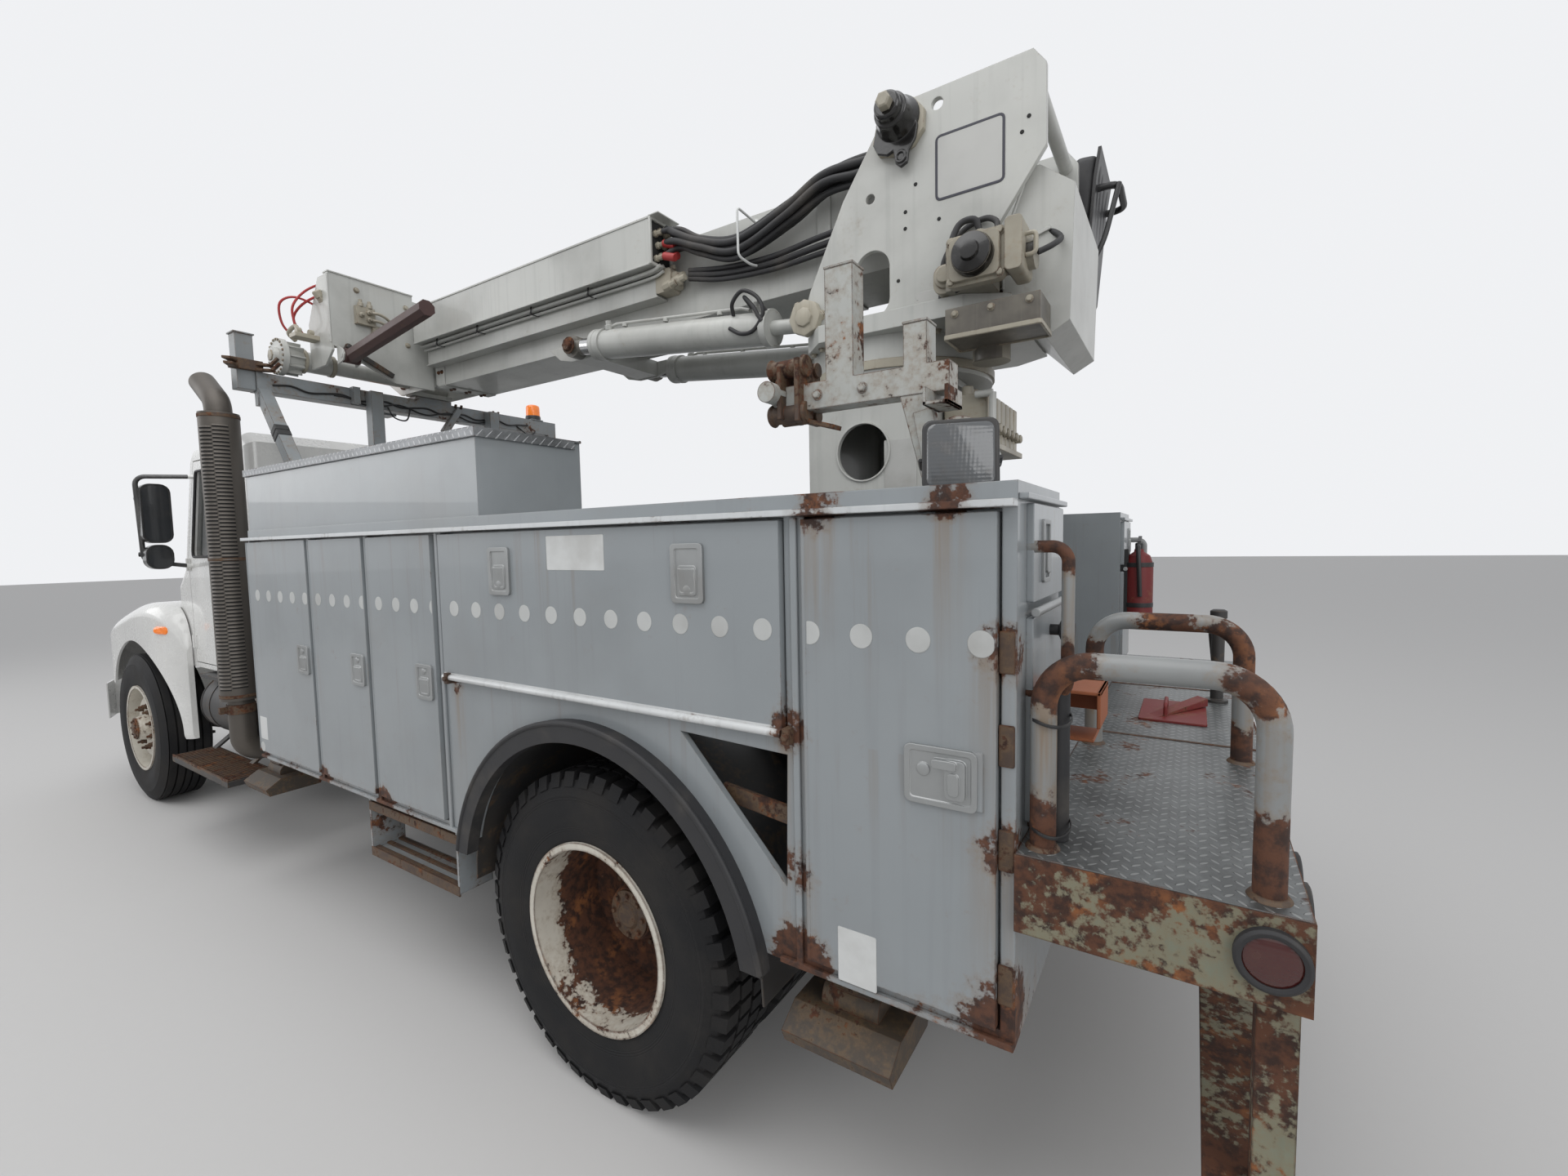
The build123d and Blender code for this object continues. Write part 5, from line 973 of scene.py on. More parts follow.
# Hood: side marker lamps, rubber latches, lenses over the headlamps
headlampAt = (0.77, 0.8375)
for name, side in sides:
    marker = Shape()
    rings = []
    for level, shrink in ((-0.02, 1.0), (0.006, 1.0), (0.018, 0.72), (0.022, 0.35)):
        rings.append([(2.2 + x * shrink, side * (1.108 + level + x * 0.22), 1.222 + z * shrink)
            for x, z in rounded((0, 0), (0.125, 0.052), 0.024)])
    marker.skin(rings)
    marker.done("sideMarker" + name.title(), "hood", "cab_white", amberLens)
    latch = Shape()
    latch.box((2.215, 2.26), spanOn(side, 0.88, 1.0), (1.18, 1.21))
    latch.done("hoodLatchHook" + name.title(), "hood", "black_plastic", bevel=0.003)
    catch = Shape()
    catch.box((2.12, 2.175), spanOn(side, 0.998, 1.014), (1.09, 1.25))
    catch.plate([(2.128, 1.1), (2.167, 1.1), (2.172, 1.17), (2.178, 1.235), (2.117, 1.235), (2.123, 1.17)], 1,
        spanOn(side, 1.012, 1.034))
    catch.turned((2.148, side * 1.014, 1.218), (0, side, 0), ((0, 0.03), (0.026, 0.03), (0.03, 0.024)), 18)
    catch.done("hoodCatch" + name.title(), "chassis", "black_rubber", bevel=0.003)
    lens = Shape()
    lens.skin([[(3.604 + level, side * (headlampAt[0] + y * shrink), headlampAt[1] + z * shrink)
        for y, z in rounded((0, 0), (0.246, 0.092), 0.02)] for level, shrink in ((0, 1), (0.006, 0.97), (0.01, 0.8))])
    lens.done("headlampLens" + name.title(), "hood", "glass", clearLens)
    at = (side * headlampAt[0], headlampAt[1])
    bezel = Shape().border(at, ((0.27, 0.115), 0.022), ((0.246, 0.092), 0.02), 0, (3.596, 3.611))
    bezel.done("headlampBezel" + name.title(), "hood", "cab_white", zinc, bevel=0.001)
mesh = Shape()
for count in range(27):
    y = -0.38 + count * 0.0292
    mesh.box((3.578, 3.5835), (y - 0.0015, y + 0.0015), (0.915, 1.28))
mesh.done("grilleMesh", "hood", "black_plastic")

# Steps and tank
treads = Shape()
for side in (1, -1):
    for count in range(29):
        x = 0.82 + count * 0.0302
        treads.box((x, x + 0.011), spanOn(side, 1.022, 1.218), (0.499, 0.5065))
    treads.box((0.806, 1.684), spanOn(side, 1.224, 1.2295), (0.48, 0.512))
treads.done("stepTreads", "chassis", "frame_black", agedSteel)
slats = Shape()
for side in (1, -1):
    for z in (0.482, 0.676):
        for count in range(3):
            y = 1.072 + count * 0.046
            slats.box((-1.283, -0.647), spanOn(side, y, y + 0.018), (z - 0.004, z + 0.008))
        slats.box((-1.284, -0.646), spanOn(side, 1.186, 1.192), (z - 0.028, z + 0.01))
slats.done("bodySteps", "chassis", "body_grey", agedSteel, bevel=0.002)
tank = Shape()
tankAt = (0.86, 0.76)
# straps and end rims as (places along x, width, inner radius)
for places, width, inner in (((1.105, 1.665), 0.044, 0.1895), ((0.985, 1.785), 0.008, 0.18)):
    for x in places:
        tank.hoop((x - width / 2, *tankAt), (1, 0, 0), inner, 0.194, width, 48)
tank.turned((1.42, 0.985, 0.9), (0, 0.72, 0.69), ((-0.02, 0.042), (0.012, 0.042), (0.014, 0.05), (0.034, 0.05),
    (0.038, 0.044)), 24)
tank.done("tankStraps", "chassis", "frame_black", bevel=0.001)

# Exhaust: two columns of staggered louvres with painted shade in the slots under them, bands and a rusty clamp
louvres = {"count": 70, "low": 1.0, "high": 2.385, "columns": (118, 165), "half": 22, "radius": 0.086}
louvreLips = Shape()
louvreSlotShade = Shape()


def onStack(degrees, radius, z):
    turn = math.radians(degrees)
    return (stackAt[0] + radius * math.cos(turn), stackAt[1] + radius * math.sin(turn), z)


for number, column in enumerate(louvres["columns"]):
    pitch = (louvres["high"] - louvres["low"]) / louvres["count"]
    for count in range(louvres["count"]):
        z = louvres["low"] + pitch * (count + 0.5 * number)
        spread = [column + louvres["half"] * step / 3 for step in range(-3, 4)]
        radius = louvres["radius"]
        louvreLips.skin([[onStack(angle, radius - 0.001, z + 0.011),
            onStack(angle, radius + 0.0062 * (1 - 0.5 * abs(angle - column) / louvres["half"]), z + 0.001),
            onStack(angle, radius - 0.001, z)] for angle in spread])
        # a dark band under each louvre is painted shade for the open slot
        louvreSlotShade.skin([[onStack(angle, radius + proud, height)
            for proud, height in ((-0.001, z), (0.0006, z), (0.0006, z - 0.0065), (-0.001, z - 0.0065))]
            for angle in spread])
louvreLips.done("louvreLips", "chassis", "shield_steel")
louvreSlotShade.done("louvreSlotShade", "chassis", "shield_steel", shadeAndBoltBlack)
bands = Shape()
for z in (0.95, 1.68, 2.425):
    bands.hoop((*stackAt, z), (0, 0, 1), 0.0855, 0.0885, 0.016, 40)
bands.hoop((*stackAt, 0.86), (0, 0, 1), 0.057, 0.063, 0.05, 36)
bands.box((stackAt[0] - 0.012, stackAt[0] + 0.012), (1.2, 1.235), (0.868, 0.902))
bands.done("stackBands", "chassis", "shield_steel", agedSteel)
print("cab and exhaust")


# Padded seats: each pad starts a little small, swells under pressure and gets its sewn channels

def pad(name, body, centre, size, tilt=0.0, corner=0.05, cap=0.014, cell=0.011):
    # size is (x, y, z) before it swells; tilt is in degrees about Y
    work = bmesh.new()
    bmesh.ops.create_cube(work, size=1.0)
    bmesh.ops.scale(work, vec=[length - 2 * cap * 0.6 for length in size], verts=work.verts)
    bmesh.ops.bevel(work, geom=list(work.edges), offset=corner, segments=4, profile=0.6, affect="EDGES",
        clamp_overlap=True)
    mesh = bpy.data.meshes.new(name)
    work.to_mesh(mesh)
    work.free()
    made = bpy.data.objects.new(name, mesh)
    bpy.context.scene.collection.objects.link(made)
    remesh = made.modifiers.new("cells", "REMESH")
    remesh.mode = "VOXEL"
    remesh.voxel_size = cell
    depsgraph = bpy.context.evaluated_depsgraph_get()
    final = bpy.data.meshes.new_from_object(made.evaluated_get(depsgraph))
    made.modifiers.clear()
    made.data = final
    cloth = made.modifiers.new("cloth", "CLOTH")
    cloth.settings.use_pressure = True
    cloth.settings.uniform_pressure_force = 4.0
    cloth.settings.effector_weights.gravity = 0.0
    cloth.point_cache.frame_start = 1
    cloth.point_cache.frame_end = 20
    for step in range(1, 21):
        bpy.context.scene.frame_set(step)
    swollen = made.evaluated_get(bpy.context.evaluated_depsgraph_get()).to_mesh()
    moved = [point.co.copy() for point in swollen.vertices]
    made.modifiers.clear()
    bpy.context.scene.frame_set(1)
    turn = Matrix.Rotation(math.radians(tilt), 4, "Y")
    for point, spot in zip(final.vertices, moved):
        shift = spot - point.co
        if shift.length > cap:
            shift *= cap / shift.length
        spot = point.co + shift
        # sewn channels across the pad's middle, and hollowed sides
        channel = min(abs(spot.y - line * size[1]) for line in (-0.22, 0.0, 0.22)) if size[1] > 0.3 else 1.0
        dip = 0.006 * math.exp(-(channel / 0.012) ** 2)
        thin = 2 if size[2] < size[0] else 0
        if spot[thin] > 0:
            spot[thin] -= dip
        else:
            spot[thin] += dip
        point.co = turn @ spot + Vector(centre)
    final.shade_smooth()
    final.materials.append(finishes["seat_vinyl"])
    smooth = made.modifiers.new("smooth", "SUBSURF")
    smooth.levels = 1
    smooth.render_levels = 1
    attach(made, body)
    return made


cabPads = {"driver": (0.44, 0.48), "bench": (-0.4, 0.88)}
for name, (y, across) in cabPads.items():
    pad(name + "Cushion", "chassis", (1.51, y, 1.372), (0.47, across, 0.12), tilt=-3, cell=0.014)
    pad(name + "Back", "chassis", (1.225, y, 1.7), (0.11, across, 0.68), tilt=-11, cell=0.014)
seatBase = Shape()
for y, across in cabPads.values():
    seatBase.pane((1.495, y), (0.4, across - 0.1), 0.03, 2, (1.067, 1.09))
    seatBase.skin([[(1.495 + x * grow, y + v * grow, z) for x, v in rounded((0, 0), (0.36, across - 0.14), 0.03)]
        for z, grow in ((1.09, 0.86), (1.2, 0.8), (1.29, 1.0), (1.312, 1.04))])
    seatBase.skin([[(1.232 + x - (z - 1.37) * 0.194, y + v, z)
        for x, v in rounded((-0.07, 0), (0.024, across - 0.04), 0.01)] for z in (1.34, 1.6, 1.9, 2.03)])
seatBase.done("seatBases", "chassis", "seat_vinyl", finishes["black_plastic"], bevel=0.003, replaces=("seats",))
belts = Shape()
for y in (0.19, 0.69, -0.83, 0.03):
    belts.hose(((1.2, y, 1.31), (1.16, y, 1.5), (1.1, y, 1.9), (1.0, y, 2.1)), 0.008, 6)
belts.done("seatBelts", "chassis", "black_plastic")

# Operator's seat on the turret
seatY = -0.56
pad("operatorCushion", "turret", (-2.92, seatY, 2.7), (0.36, 0.35, 0.07), cap=0.01, cell=0.007, corner=0.03)
pad("operatorBack", "turret", (-3.098, seatY, 2.965), (0.1, 0.35, 0.5), tilt=-6, cap=0.01, cell=0.007, corner=0.03)
shell = Shape()
profile = ((-3.093, 2.665), (-3.118, 2.72), (-3.134, 2.9), (-3.15, 3.1), (-3.166, 3.21))
backward = [(x - 0.012, z) for x, z in profile]
outline = list(profile) + backward[::-1]
shell.plate(outline, 1, (-0.735, -0.385))
shell.pane((-2.92, seatY), (0.35, 0.34), 0.03, 2, (2.655, 2.668))
shell.box((-2.885, -2.815), (-0.6, -0.3205), (2.622, 2.656))
shell.beam((-3.1, -0.42, 2.66), (-2.76, -0.42, 2.645), 0.03, 0.03)
shell.beam((-3.1, -0.7, 2.66), (-2.76, -0.7, 2.645), 0.03, 0.03)
for y in (-0.44, -0.68):
    shell.bolt((-3.158, y, 3.08), (-1, 0, 0), 0.014)
shell.done("operatorShell", "turret", "seat_vinyl", finishes["black_plastic"], bevel=0.0015,
    replaces=("operator_seat",))
guard = Shape()
guard.bent(((-3.15, -0.44, 3.08), (-3.235, -0.44, 3.08), (-3.235, -0.68, 3.08), (-3.15, -0.68, 3.08)), 0.05, 0.013, 12)
guard.bent(((-3.13, -0.4, 2.75), (-3.19, -0.4, 2.86), (-3.235, -0.44, 3.08)), 0.05, 0.01, 10)
guard.done("seatGuard", "turret", "seat_vinyl", finishes["black_plastic"])
print("seats")


# Turret: pivot castings under grease, pin covers, placard, plates and small fasteners
pivotAt = (-2.647, 3.11)
barrelPin = (-2.28, 2.543)
rodPin = (-0.937, 2.69)
placardAt = (-2.879, 2.926)
plateFace = 0.3203
castingOutline = ((-2.702, 3.166), (-2.66, 3.172), (-2.6, 3.165), (-2.57, 3.12), (-2.556, 3.06), (-2.575, 3.022),
                  (-2.64, 3.005), (-2.7, 3.02), (-2.735, 3.06), (-2.738, 3.12))
greaseOutline = ((-2.575, 3.11), (-2.562, 3.05), (-2.578, 3.018), (-2.612, 3.004), (-2.634, 3.012), (-2.642, 2.968),
    (-2.66, 2.952), (-2.684, 2.962), (-2.69, 3.0), (-2.712, 3.03), (-2.72, 3.07), (-2.7, 3.13), (-2.62, 3.15))
smallBolts = ((-2.664, 2.821), (-2.663, 2.767), (-2.78, 2.767), (-2.637, 2.602), (-2.79, 2.581), (-2.81, 2.535),
              (-3.04, 2.95), (-3.06, 2.99), (-2.36, 2.62), (-2.7, 2.9), (-2.45, 2.57), (-2.86, 2.68))
for name, side in sides:
    outward = (0, side, 0)
    casting = Shape()
    casting.plate(castingOutline, 1, spanOn(side, plateFace, 0.342))
    casting.turned((pivotAt[0], side * 0.452, pivotAt[1]), outward, ((-0.03, 0.026), (0.016, 0.026), (0.02, 0.02)), 6)
    casting.turned((barrelPin[0], side * 0.3403, barrelPin[1]), outward,
        ((-0.018, 0.066), (0.01, 0.066), (0.012, 0.06), (0.012, 0.036), (0.02, 0.034), (0.022, 0.03)), 8)
    casting.bolt((-2.335, side * plateFace, 2.548), outward, 0.015)
    casting.bolt((-2.236, side * plateFace, 2.6), outward, 0.012)
    casting.done("pivotCasting" + name.title(), "turret", "derrick_cream", oilyCream, bevel=0.003)
    cap = Shape()
    cap.turned((pivotAt[0], side * 0.34, pivotAt[1]), outward,
        ((0, 0.078), (0.012, 0.074), (0.024, 0.064), (0.05, 0.059), (0.07, 0.056), (0.074, 0.046), (0.096, 0.045),
        (0.104, 0.038)), 30)
    cap.plate(greaseOutline, 1, spanOn(side, 0.341, 0.354))
    cap.turned((-2.662, side * 0.353, 2.985), outward, ((-0.006, 0.02), (0.006, 0.022), (0.006, 0.011),
        (-0.006, 0.011)), 18, loop=True)
    cap.done("pivotGrease" + name.title(), "turret", "derrick_cream", grease, bevel=0.004)
    pips = Shape()
    for x, z in smallBolts:
        pips.turned((x, side * (plateFace - 0.001), z), outward, ((0, 0.0065), (0.002, 0.0065), (0.003, 0.005)), 8)
    pips.done("plateBolts" + name.title(), "turret", "derrick_cream", shadeAndBoltBlack)
    weld = Shape()
    weld.tube([(-2.82 + 0.009 * step, side * 0.3215, 2.492 + 0.001 * (step % 2)) for step in range(60)], 0.006, 8)
    weld.beam((-2.893, side * 0.2845, 2.6), (-3.118, side * 0.2845, 2.665), 0.009, 0.012)
    weld.tube(((-2.976, side * 0.281, 2.51), (-2.976, side * 0.281, 2.66), (-3.055, side * 0.281, 2.862)), 0.004, 6)
    weld.done("turretWelds" + name.title(), "turret", "derrick_cream")
    film = Shape().pane(placardAt, (0.208, 0.192), 0.012, 1, spanOn(side, plateFace, 0.3211))
    film.done("placard" + name.title(), "turret", "derrick_cream", placardFilm)
    frameLine = Shape().border(placardAt, ((0.222, 0.206), 0.018), ((0.206, 0.19), 0.01), 1,
        spanOn(side, plateFace, 0.3215))
    frameLine.done("placardFrame" + name.title(), "turret", "derrick_cream", inkBlack)
    namePlate = Shape().pane((-2.749, 2.524), (0.1, 0.045), 0.004, 1, spanOn(side, plateFace, 0.3222))
    for x in (-2.793, -2.705):
        namePlate.turned((x, side * 0.322, 2.524), outward, ((0, 0.003), (0.0012, 0.002)), 8)
    namePlate.done("blankNamePlate" + name.title(), "turret", "derrick_cream", placardFilm)

# Slewing drive: square castings, greasy cover, hoses and their fittings
driveAt = (-2.935, 2.56)
drive = Shape()
drive.pane(driveAt, (0.176, 0.15), 0.024, 1, (0.419, 0.452))
drive.pane(driveAt, (0.15, 0.128), 0.02, 1, (0.452, 0.468))
for x in (-3.008, -2.862):
    for z in (2.5, 2.62):
        drive.bolt((x, 0.452, z), (0, 1, 0), 0.011, 0.012)
drive.pane((-3.05, 2.57), (0.05, 0.15), 0.014, 1, (0.33, 0.47))
drive.pane((-2.83, 2.54), (0.085, 0.09), 0.03, 1, (0.3205, 0.4))
drive.turned((-2.83, 0.398, 2.545), (0, 1, 0), ((0, 0.036), (0.012, 0.036), (0.016, 0.026), (0.03, 0.024)), 20)
for x, height in ((-2.98, 0.03), (-2.93, 0.045), (-2.885, 0.026)):
    drive.turned((x, 0.38, 2.619), (0, 0, 1), ((0, 0.02), (height, 0.018), (height + 0.004, 0.012)), 16)
drive.bent(((-3.07, 0.43, 2.6), (-3.105, 0.43, 2.6), (-3.105, 0.43, 2.54), (-3.075, 0.43, 2.54)), 0.015, 0.007, 8)
drive.done("slewCastings", "turret", "frame_black", oilyCream, bevel=0.004)
cover = Shape()
cover.turned((driveAt[0], 0.467, driveAt[1]), (0, 1, 0), ((0, 0.062), (0.02, 0.062), (0.036, 0.056), (0.044, 0.03),
    (0.056, 0.026), (0.058, 0.016)), 32)
cover.done("slewCover", "turret", "frame_black", grease)
hoses = Shape()
hoses.hose(((-2.93, 0.38, 2.664), (-2.915, 0.39, 2.7), (-2.87, 0.4, 2.69), (-2.845, 0.41, 2.62), (-2.85, 0.42, 2.54),
    (-2.87, 0.4, 2.49)), 0.01)
hoses.hose(((-2.98, 0.38, 2.648), (-2.975, 0.36, 2.69), (-2.93, 0.335, 2.72), (-2.86, 0.332, 2.7),
    (-2.8, 0.332, 2.62), (-2.79, 0.332, 2.5)), 0.009)
hoses.hose(((-3.1, 0.38, 2.56), (-3.14, 0.36, 2.58), (-3.15, 0.3, 2.62), (-3.11, 0.27, 2.66), (-3.05, 0.26, 2.66)),
    0.009)
hoses.done("slewHoses", "turret", "frame_black", finishes["black_rubber"])
panEdge = Shape()
panEdge.border((-2.98, 0.3625), ((0.29, 0.165), 0.01), ((0.274, 0.149), 0.008), 2, (2.336, 2.35))
for x in (-3.09, -2.98, -2.87):
    panEdge.bolt((x, 0.4405, 2.41), (0, 1, 0), 0.009)
panEdge.done("slewPanEdge", "turret", "frame_black", oilyCream, bevel=0.001)
bearing = {"bolts": 0.362, "count": 30, "open": 0.34, "top": 2.4305}
ring = Shape()
for turn in turns(bearing["count"]):
    at = (turretX + bearing["bolts"] * math.cos(turn), bearing["bolts"] * math.sin(turn))
    if abs(at[1]) < bearing["open"]:
        ring.bolt((*at, bearing["top"]), (0, 0, -1), 0.011)
ring.turned((turretX, 0, 2.315), (0, 0, 1), ((0, 0.3445), (0.0, 0.353), (0.03, 0.353), (0.034, 0.3445)), 60, loop=True)
ring.done("bearingBolts", "turret", "derrick_cream", oilyCream)

# Winch drum behind the boom: its flanges and one layer of rope
winch = {"x": -2.865, "z": 2.66, "turns": 20, "steps": 12, "radius": 0.093, "start": -0.145, "width": 0.29}
drum = Shape()
for y in (-0.16, 0.16):
    drum.hoop((winch["x"], y - 0.006, winch["z"]), (0, 1, 0), 0.084, 0.125, 0.012, 36)
rope = []
for step in range(winch["steps"] * winch["turns"]):
    turn = 2 * math.pi * step / winch["steps"]
    rope.append((winch["x"] + winch["radius"] * math.cos(turn),
        winch["start"] + winch["width"] * step / (winch["steps"] * winch["turns"]),
        winch["z"] + winch["radius"] * math.sin(turn)))
drum.done("winchFlanges", "turret", "frame_black", oilyCream)
winchRope = Shape().tube(rope, 0.0075, 8)
winchRope.done("winchRope", "turret", "frame_black", agedSteel)

# Pedestal: flanges, bolts, a blank plate, and the valve bank behind it
base = Shape()
base.border((turretX, 0), ((0.6, 0.76), 0.02), ((0.478, 0.638), 0.012), 2, (1.117, 1.135))
base.border((turretX, 0), ((0.52, 0.68), 0.02), ((0.478, 0.638), 0.012), 2, (2.275, 2.2995))
for x in (-2.785, -2.65, -2.515, -2.38, -2.245):
    for y in (-0.35, 0.35):
        base.bolt((x, y, 1.135), (0, 0, 1), 0.014)
for y in (-0.3205, 0.3205):
    base.hoop((-2.498, y - 0.004 if y > 0 else y - 0.006, 2.037), (0, 1, 0), 0.0995, 0.106, 0.01, 40)
base.done("pedestalFlanges", "chassis", "derrick_cream", bevel=0.002)
sign = Shape().pane((-2.64, 1.97), (0.12, 0.2), 0.006, 1, (0.32, 0.3215))
sign.done("pedestalPlate", "chassis", "derrick_cream", placardFilm)
bank = Shape()
for count in range(7):
    y = -0.17 + count * 0.062
    bank.pane((-2.84, y), (0.15, 0.056), 0.008, 2, (2.05, 2.21))
    bank.turned((-2.84, y, 2.209), (0, 0, 1), ((0, 0.02), (0.03, 0.02), (0.034, 0.012)), 12)
    bank.turned((-2.916, y, 2.1), (-1, 0, 0), ((0, 0.016), (0.02, 0.016), (0.024, 0.01)), 12)
bank.box((-2.93, -2.757), (-0.22, 0.25), (2.03, 2.05))
bank.done("valveBank", "chassis", "derrick_cream", oilyCream, bevel=0.002)
pipes = Shape()
for x, y in ((-2.79, 0.18), (-2.82, 0.12), (-2.79, 0.05), (-2.83, -0.02), (-2.79, -0.1), (-2.85, 0.2)):
    pipes.hose(((x, y, 2.04), (x - 0.01, y, 1.9), (x + 0.012, y + 0.02, 1.6), (x, y, 1.35), (x + 0.01, y, 1.118)),
        0.011, 10)
pipes.done("valveHoses", "chassis", "black_rubber")
guardTube = Shape().bent(((-2.937, 0.25, 2.2), (-2.937, 0.25, 1.98), (-2.937, 0.21, 1.98)), 0.02, 0.012, 10)
guardTube.rod((-2.937, 0.25, 2.2), (-2.88, 0.25, 2.2), 0.012)
guardTube.done("bankGuard", "chassis", "derrick_cream")

# Rack on the cabinet: end caps, pole clamp, hanger and flood lamp
rackCaps = Shape()
for low, high, z in ((-2.767, -2.683, 2.42), (-2.962, -2.898, 2.24)):
    rackCaps.box((low, high), (0.871, 0.939), (z, z + 0.006))
rackCaps.box((-3.028, -2.968), (0.88, 0.99), (2.03, 2.038))
rackCaps.box((-3.028, -3.02), (0.88, 0.99), (2.03, 2.072))
rackCaps.box((-2.976, -2.968), (0.88, 0.99), (2.03, 2.072))
rackCaps.beam((-2.95, 0.9375, 2.03), (-2.99, 0.9375, 1.82), 0.008, 0.05)
for x in (-2.79, -2.66):
    rackCaps.bolt((x, 0.937, 2.105), (0, 1, 0), 0.011)
rackCaps.done("rackCaps", "chassis", "rusty_steel", rackCream, bevel=0.002)
clamp = Shape()
clamp.box((-2.618, -2.604), (0.845, 0.965), (2.04, 2.205))
clamp.box((-2.562, -2.55), (0.845, 0.965), (2.05, 2.19))
for z in (2.188, 2.066):
    clamp.turned((-2.512, 0.93, z), (-1, 0, 0), ((0, 0.028), (0.006, 0.031), (0.012, 0.024), (0.1, 0.024),
        (0.106, 0.031), (0.116, 0.028)), 22)
    clamp.turned((-2.512, 0.87, z), (-1, 0, 0), ((0, 0.02), (0.115, 0.02)), 16)
for z in (2.1, 2.15):
    clamp.bolt((-2.55, 0.945, z), (1, 0, 0), 0.011)
clamp.beam((-2.6, 0.905, 2.05), (-2.7, 0.905, 2.02), 0.05, 0.012)
clamp.done("poleClamp", "chassis", "rusty_steel", agedSteel, bevel=0.002)
flood = Shape()
floodAt = Vector((-3.055, 0.985, 1.9))
outward = Vector((-0.3, 0.93, 0.2)).normalized()
along, across, up = axisFrame(outward)


def floodSkin(shape, levels):
    # levels are (distance along the beam, half width)
    return shape.skin([[floodAt + along * distance + across * u * half / 0.08 + up * v * half / 0.08
        for u, v in rounded((0, 0), (0.16, 0.16), 0.02)] for distance, half in levels])


floodSkin(flood, ((-0.045, 0.05), (-0.03, 0.078), (0.028, 0.084), (0.032, 0.08)))
for count in range(7):
    at = floodAt + up * (-0.054 + count * 0.018) - along * 0.028
    flood.beam(at - across * 0.045 - along * 0.02, at + across * 0.045 - along * 0.02, 0.004, 0.012)
flood.bent((floodAt + across * 0.088, floodAt + across * 0.088 - along * 0.07,
    floodAt - across * 0.088 - along * 0.07, floodAt - across * 0.088), 0.015, 0.006, 8)
flood.done("floodLamp", "chassis", "rusty_steel", finishes["black_plastic"], bevel=0.002)
floodSkin(Shape(), ((0.031, 0.074), (0.0345, 0.07))).done("floodLens", "chassis", "rusty_steel", lampGlass)
eye = Shape().turned((-3.105, 0.93, 1.9), (0, 1, 0), ((-0.006, 0.028), (0.006, 0.028), (0.006, 0.017),
    (-0.006, 0.017)), 24, loop=True)
eye.rod((-3.105, 0.93, 1.875), (-3.105, 0.93, 1.8), 0.007)
eye.done("rackEye", "chassis", "rusty_steel", zinc)
print("turret, pedestal and rack")


# Boom: hose box end, trough and tubes under it, wear pads and pin caps
boxEnd = -1.471
hoseBoxAt = (0.232, 3.0485)
boomTrim = Shape()
boomTrim.border(hoseBoxAt, ((0.14, 0.203), 0.006), ((0.116, 0.178), 0.004), 0, (boxEnd, boxEnd - 0.012))
boomTrim.box((boxEnd - 0.06, boxEnd), (0.164, 0.302), (3.148, 3.154))
boomTrim.box((-1.44, 0.44), (0.1655, 0.228), (2.836, 2.93))
boomTrim.box((-1.45, 0.446), (0.1655, 0.236), (2.83, 2.838))
boomTrim.box((boxEnd, 0.452), (0.296, 0.306), (2.943, 2.951))
boomTrim.box((boxEnd, 0.452), (0.2995, 0.3035), (3.14, 3.15))
for low, high in ((-2.3, -2.24), (0.372, 0.447)):
    boomTrim.border((0, 2.899), ((0.346, 0.37), 0.012), ((0.3305, 0.3545), 0.006), 0, (low, high))
for span in ((0.2255, 0.2375), (-0.2375, -0.2255)):
    boomTrim.plate([(-1.16, 2.722), (-0.7, 2.722), (-0.78, 2.66), (-0.87, 2.64), (-1.0, 2.64), (-1.08, 2.66)], 1, span)
boomTrim.done("boomTrim", "boom_lower", "derrick_cream", bevel=0.0025)
padBolts = Shape()
for x in (0.392, 0.427):
    for z in (2.8, 2.9, 3.0):
        for side in (1, -1):
            if not (side > 0 and z > 2.82):
                padBolts.bolt((x, side * 0.173, z), (0, side, 0), 0.009)
    for y in (-0.1, 0.0, 0.1):
        padBolts.bolt((x, y, 3.084), (0, 0, 1), 0.009)
        padBolts.bolt((x, y, 2.714), (0, 0, -1), 0.009)
for side in (1, -1):
    padBolts.bolt((rodPin[0], side * 0.31, rodPin[1]), (0, side, 0), 0.03, 0.022)
padBolts.done("boomBolts", "boom_lower", "derrick_cream", agedSteel)
# a near-black sheet in the hose box's open end: painted shade
dark = Shape().pane(hoseBoxAt, (0.118, 0.18), 0.004, 0, (boxEnd - 0.0005, boxEnd - 0.0025))
dark.done("boxInsideShade", "boom_lower", "derrick_cream", shadeAndBoltBlack)
lines = Shape()
for y, z, radius in ((0.242, 2.94, 0.0085), (0.262, 2.936, 0.0085), (0.243, 2.918, 0.007)):
    lines.hose(((-1.5, y, z + 0.01), (-1.4, y, z - 0.004), (-0.9, y, z - 0.002), (-0.3, y, z), (0.3, y, z - 0.001),
        (0.44, y, z)), radius, 10)
lines.done("boomTubes", "boom_lower", "derrick_cream", bevel=0.0)
ties = Shape()
for x in (-1.05, -0.62, -0.15, 0.25):
    ties.border((0.249, 2.932), ((0.056, 0.046), 0.012), ((0.05, 0.04), 0.01), 0, (x, x + 0.008))
    ties.rod((x + 0.004, 0.27, 2.952), (x + 0.01, 0.283, 2.9), 0.002, 6)
ties.done("cableTies", "boom_lower", "black_plastic")
fittings = Shape()
for y, z in ((0.2, 3.1), (0.235, 3.105), (0.265, 3.085), (0.21, 3.05), (0.25, 3.04), (0.232, 3.0), (0.262, 2.98)):
    fittings.turned((boxEnd + 0.004, y, z), (-1, 0, 0), ((0, 0.015), (0.02, 0.015), (0.022, 0.011), (0.05, 0.011)), 6)
block = ((-1.52, 0.2, 2.9), (-1.545, 0.225, 2.875), (-1.5, 0.235, 2.86))
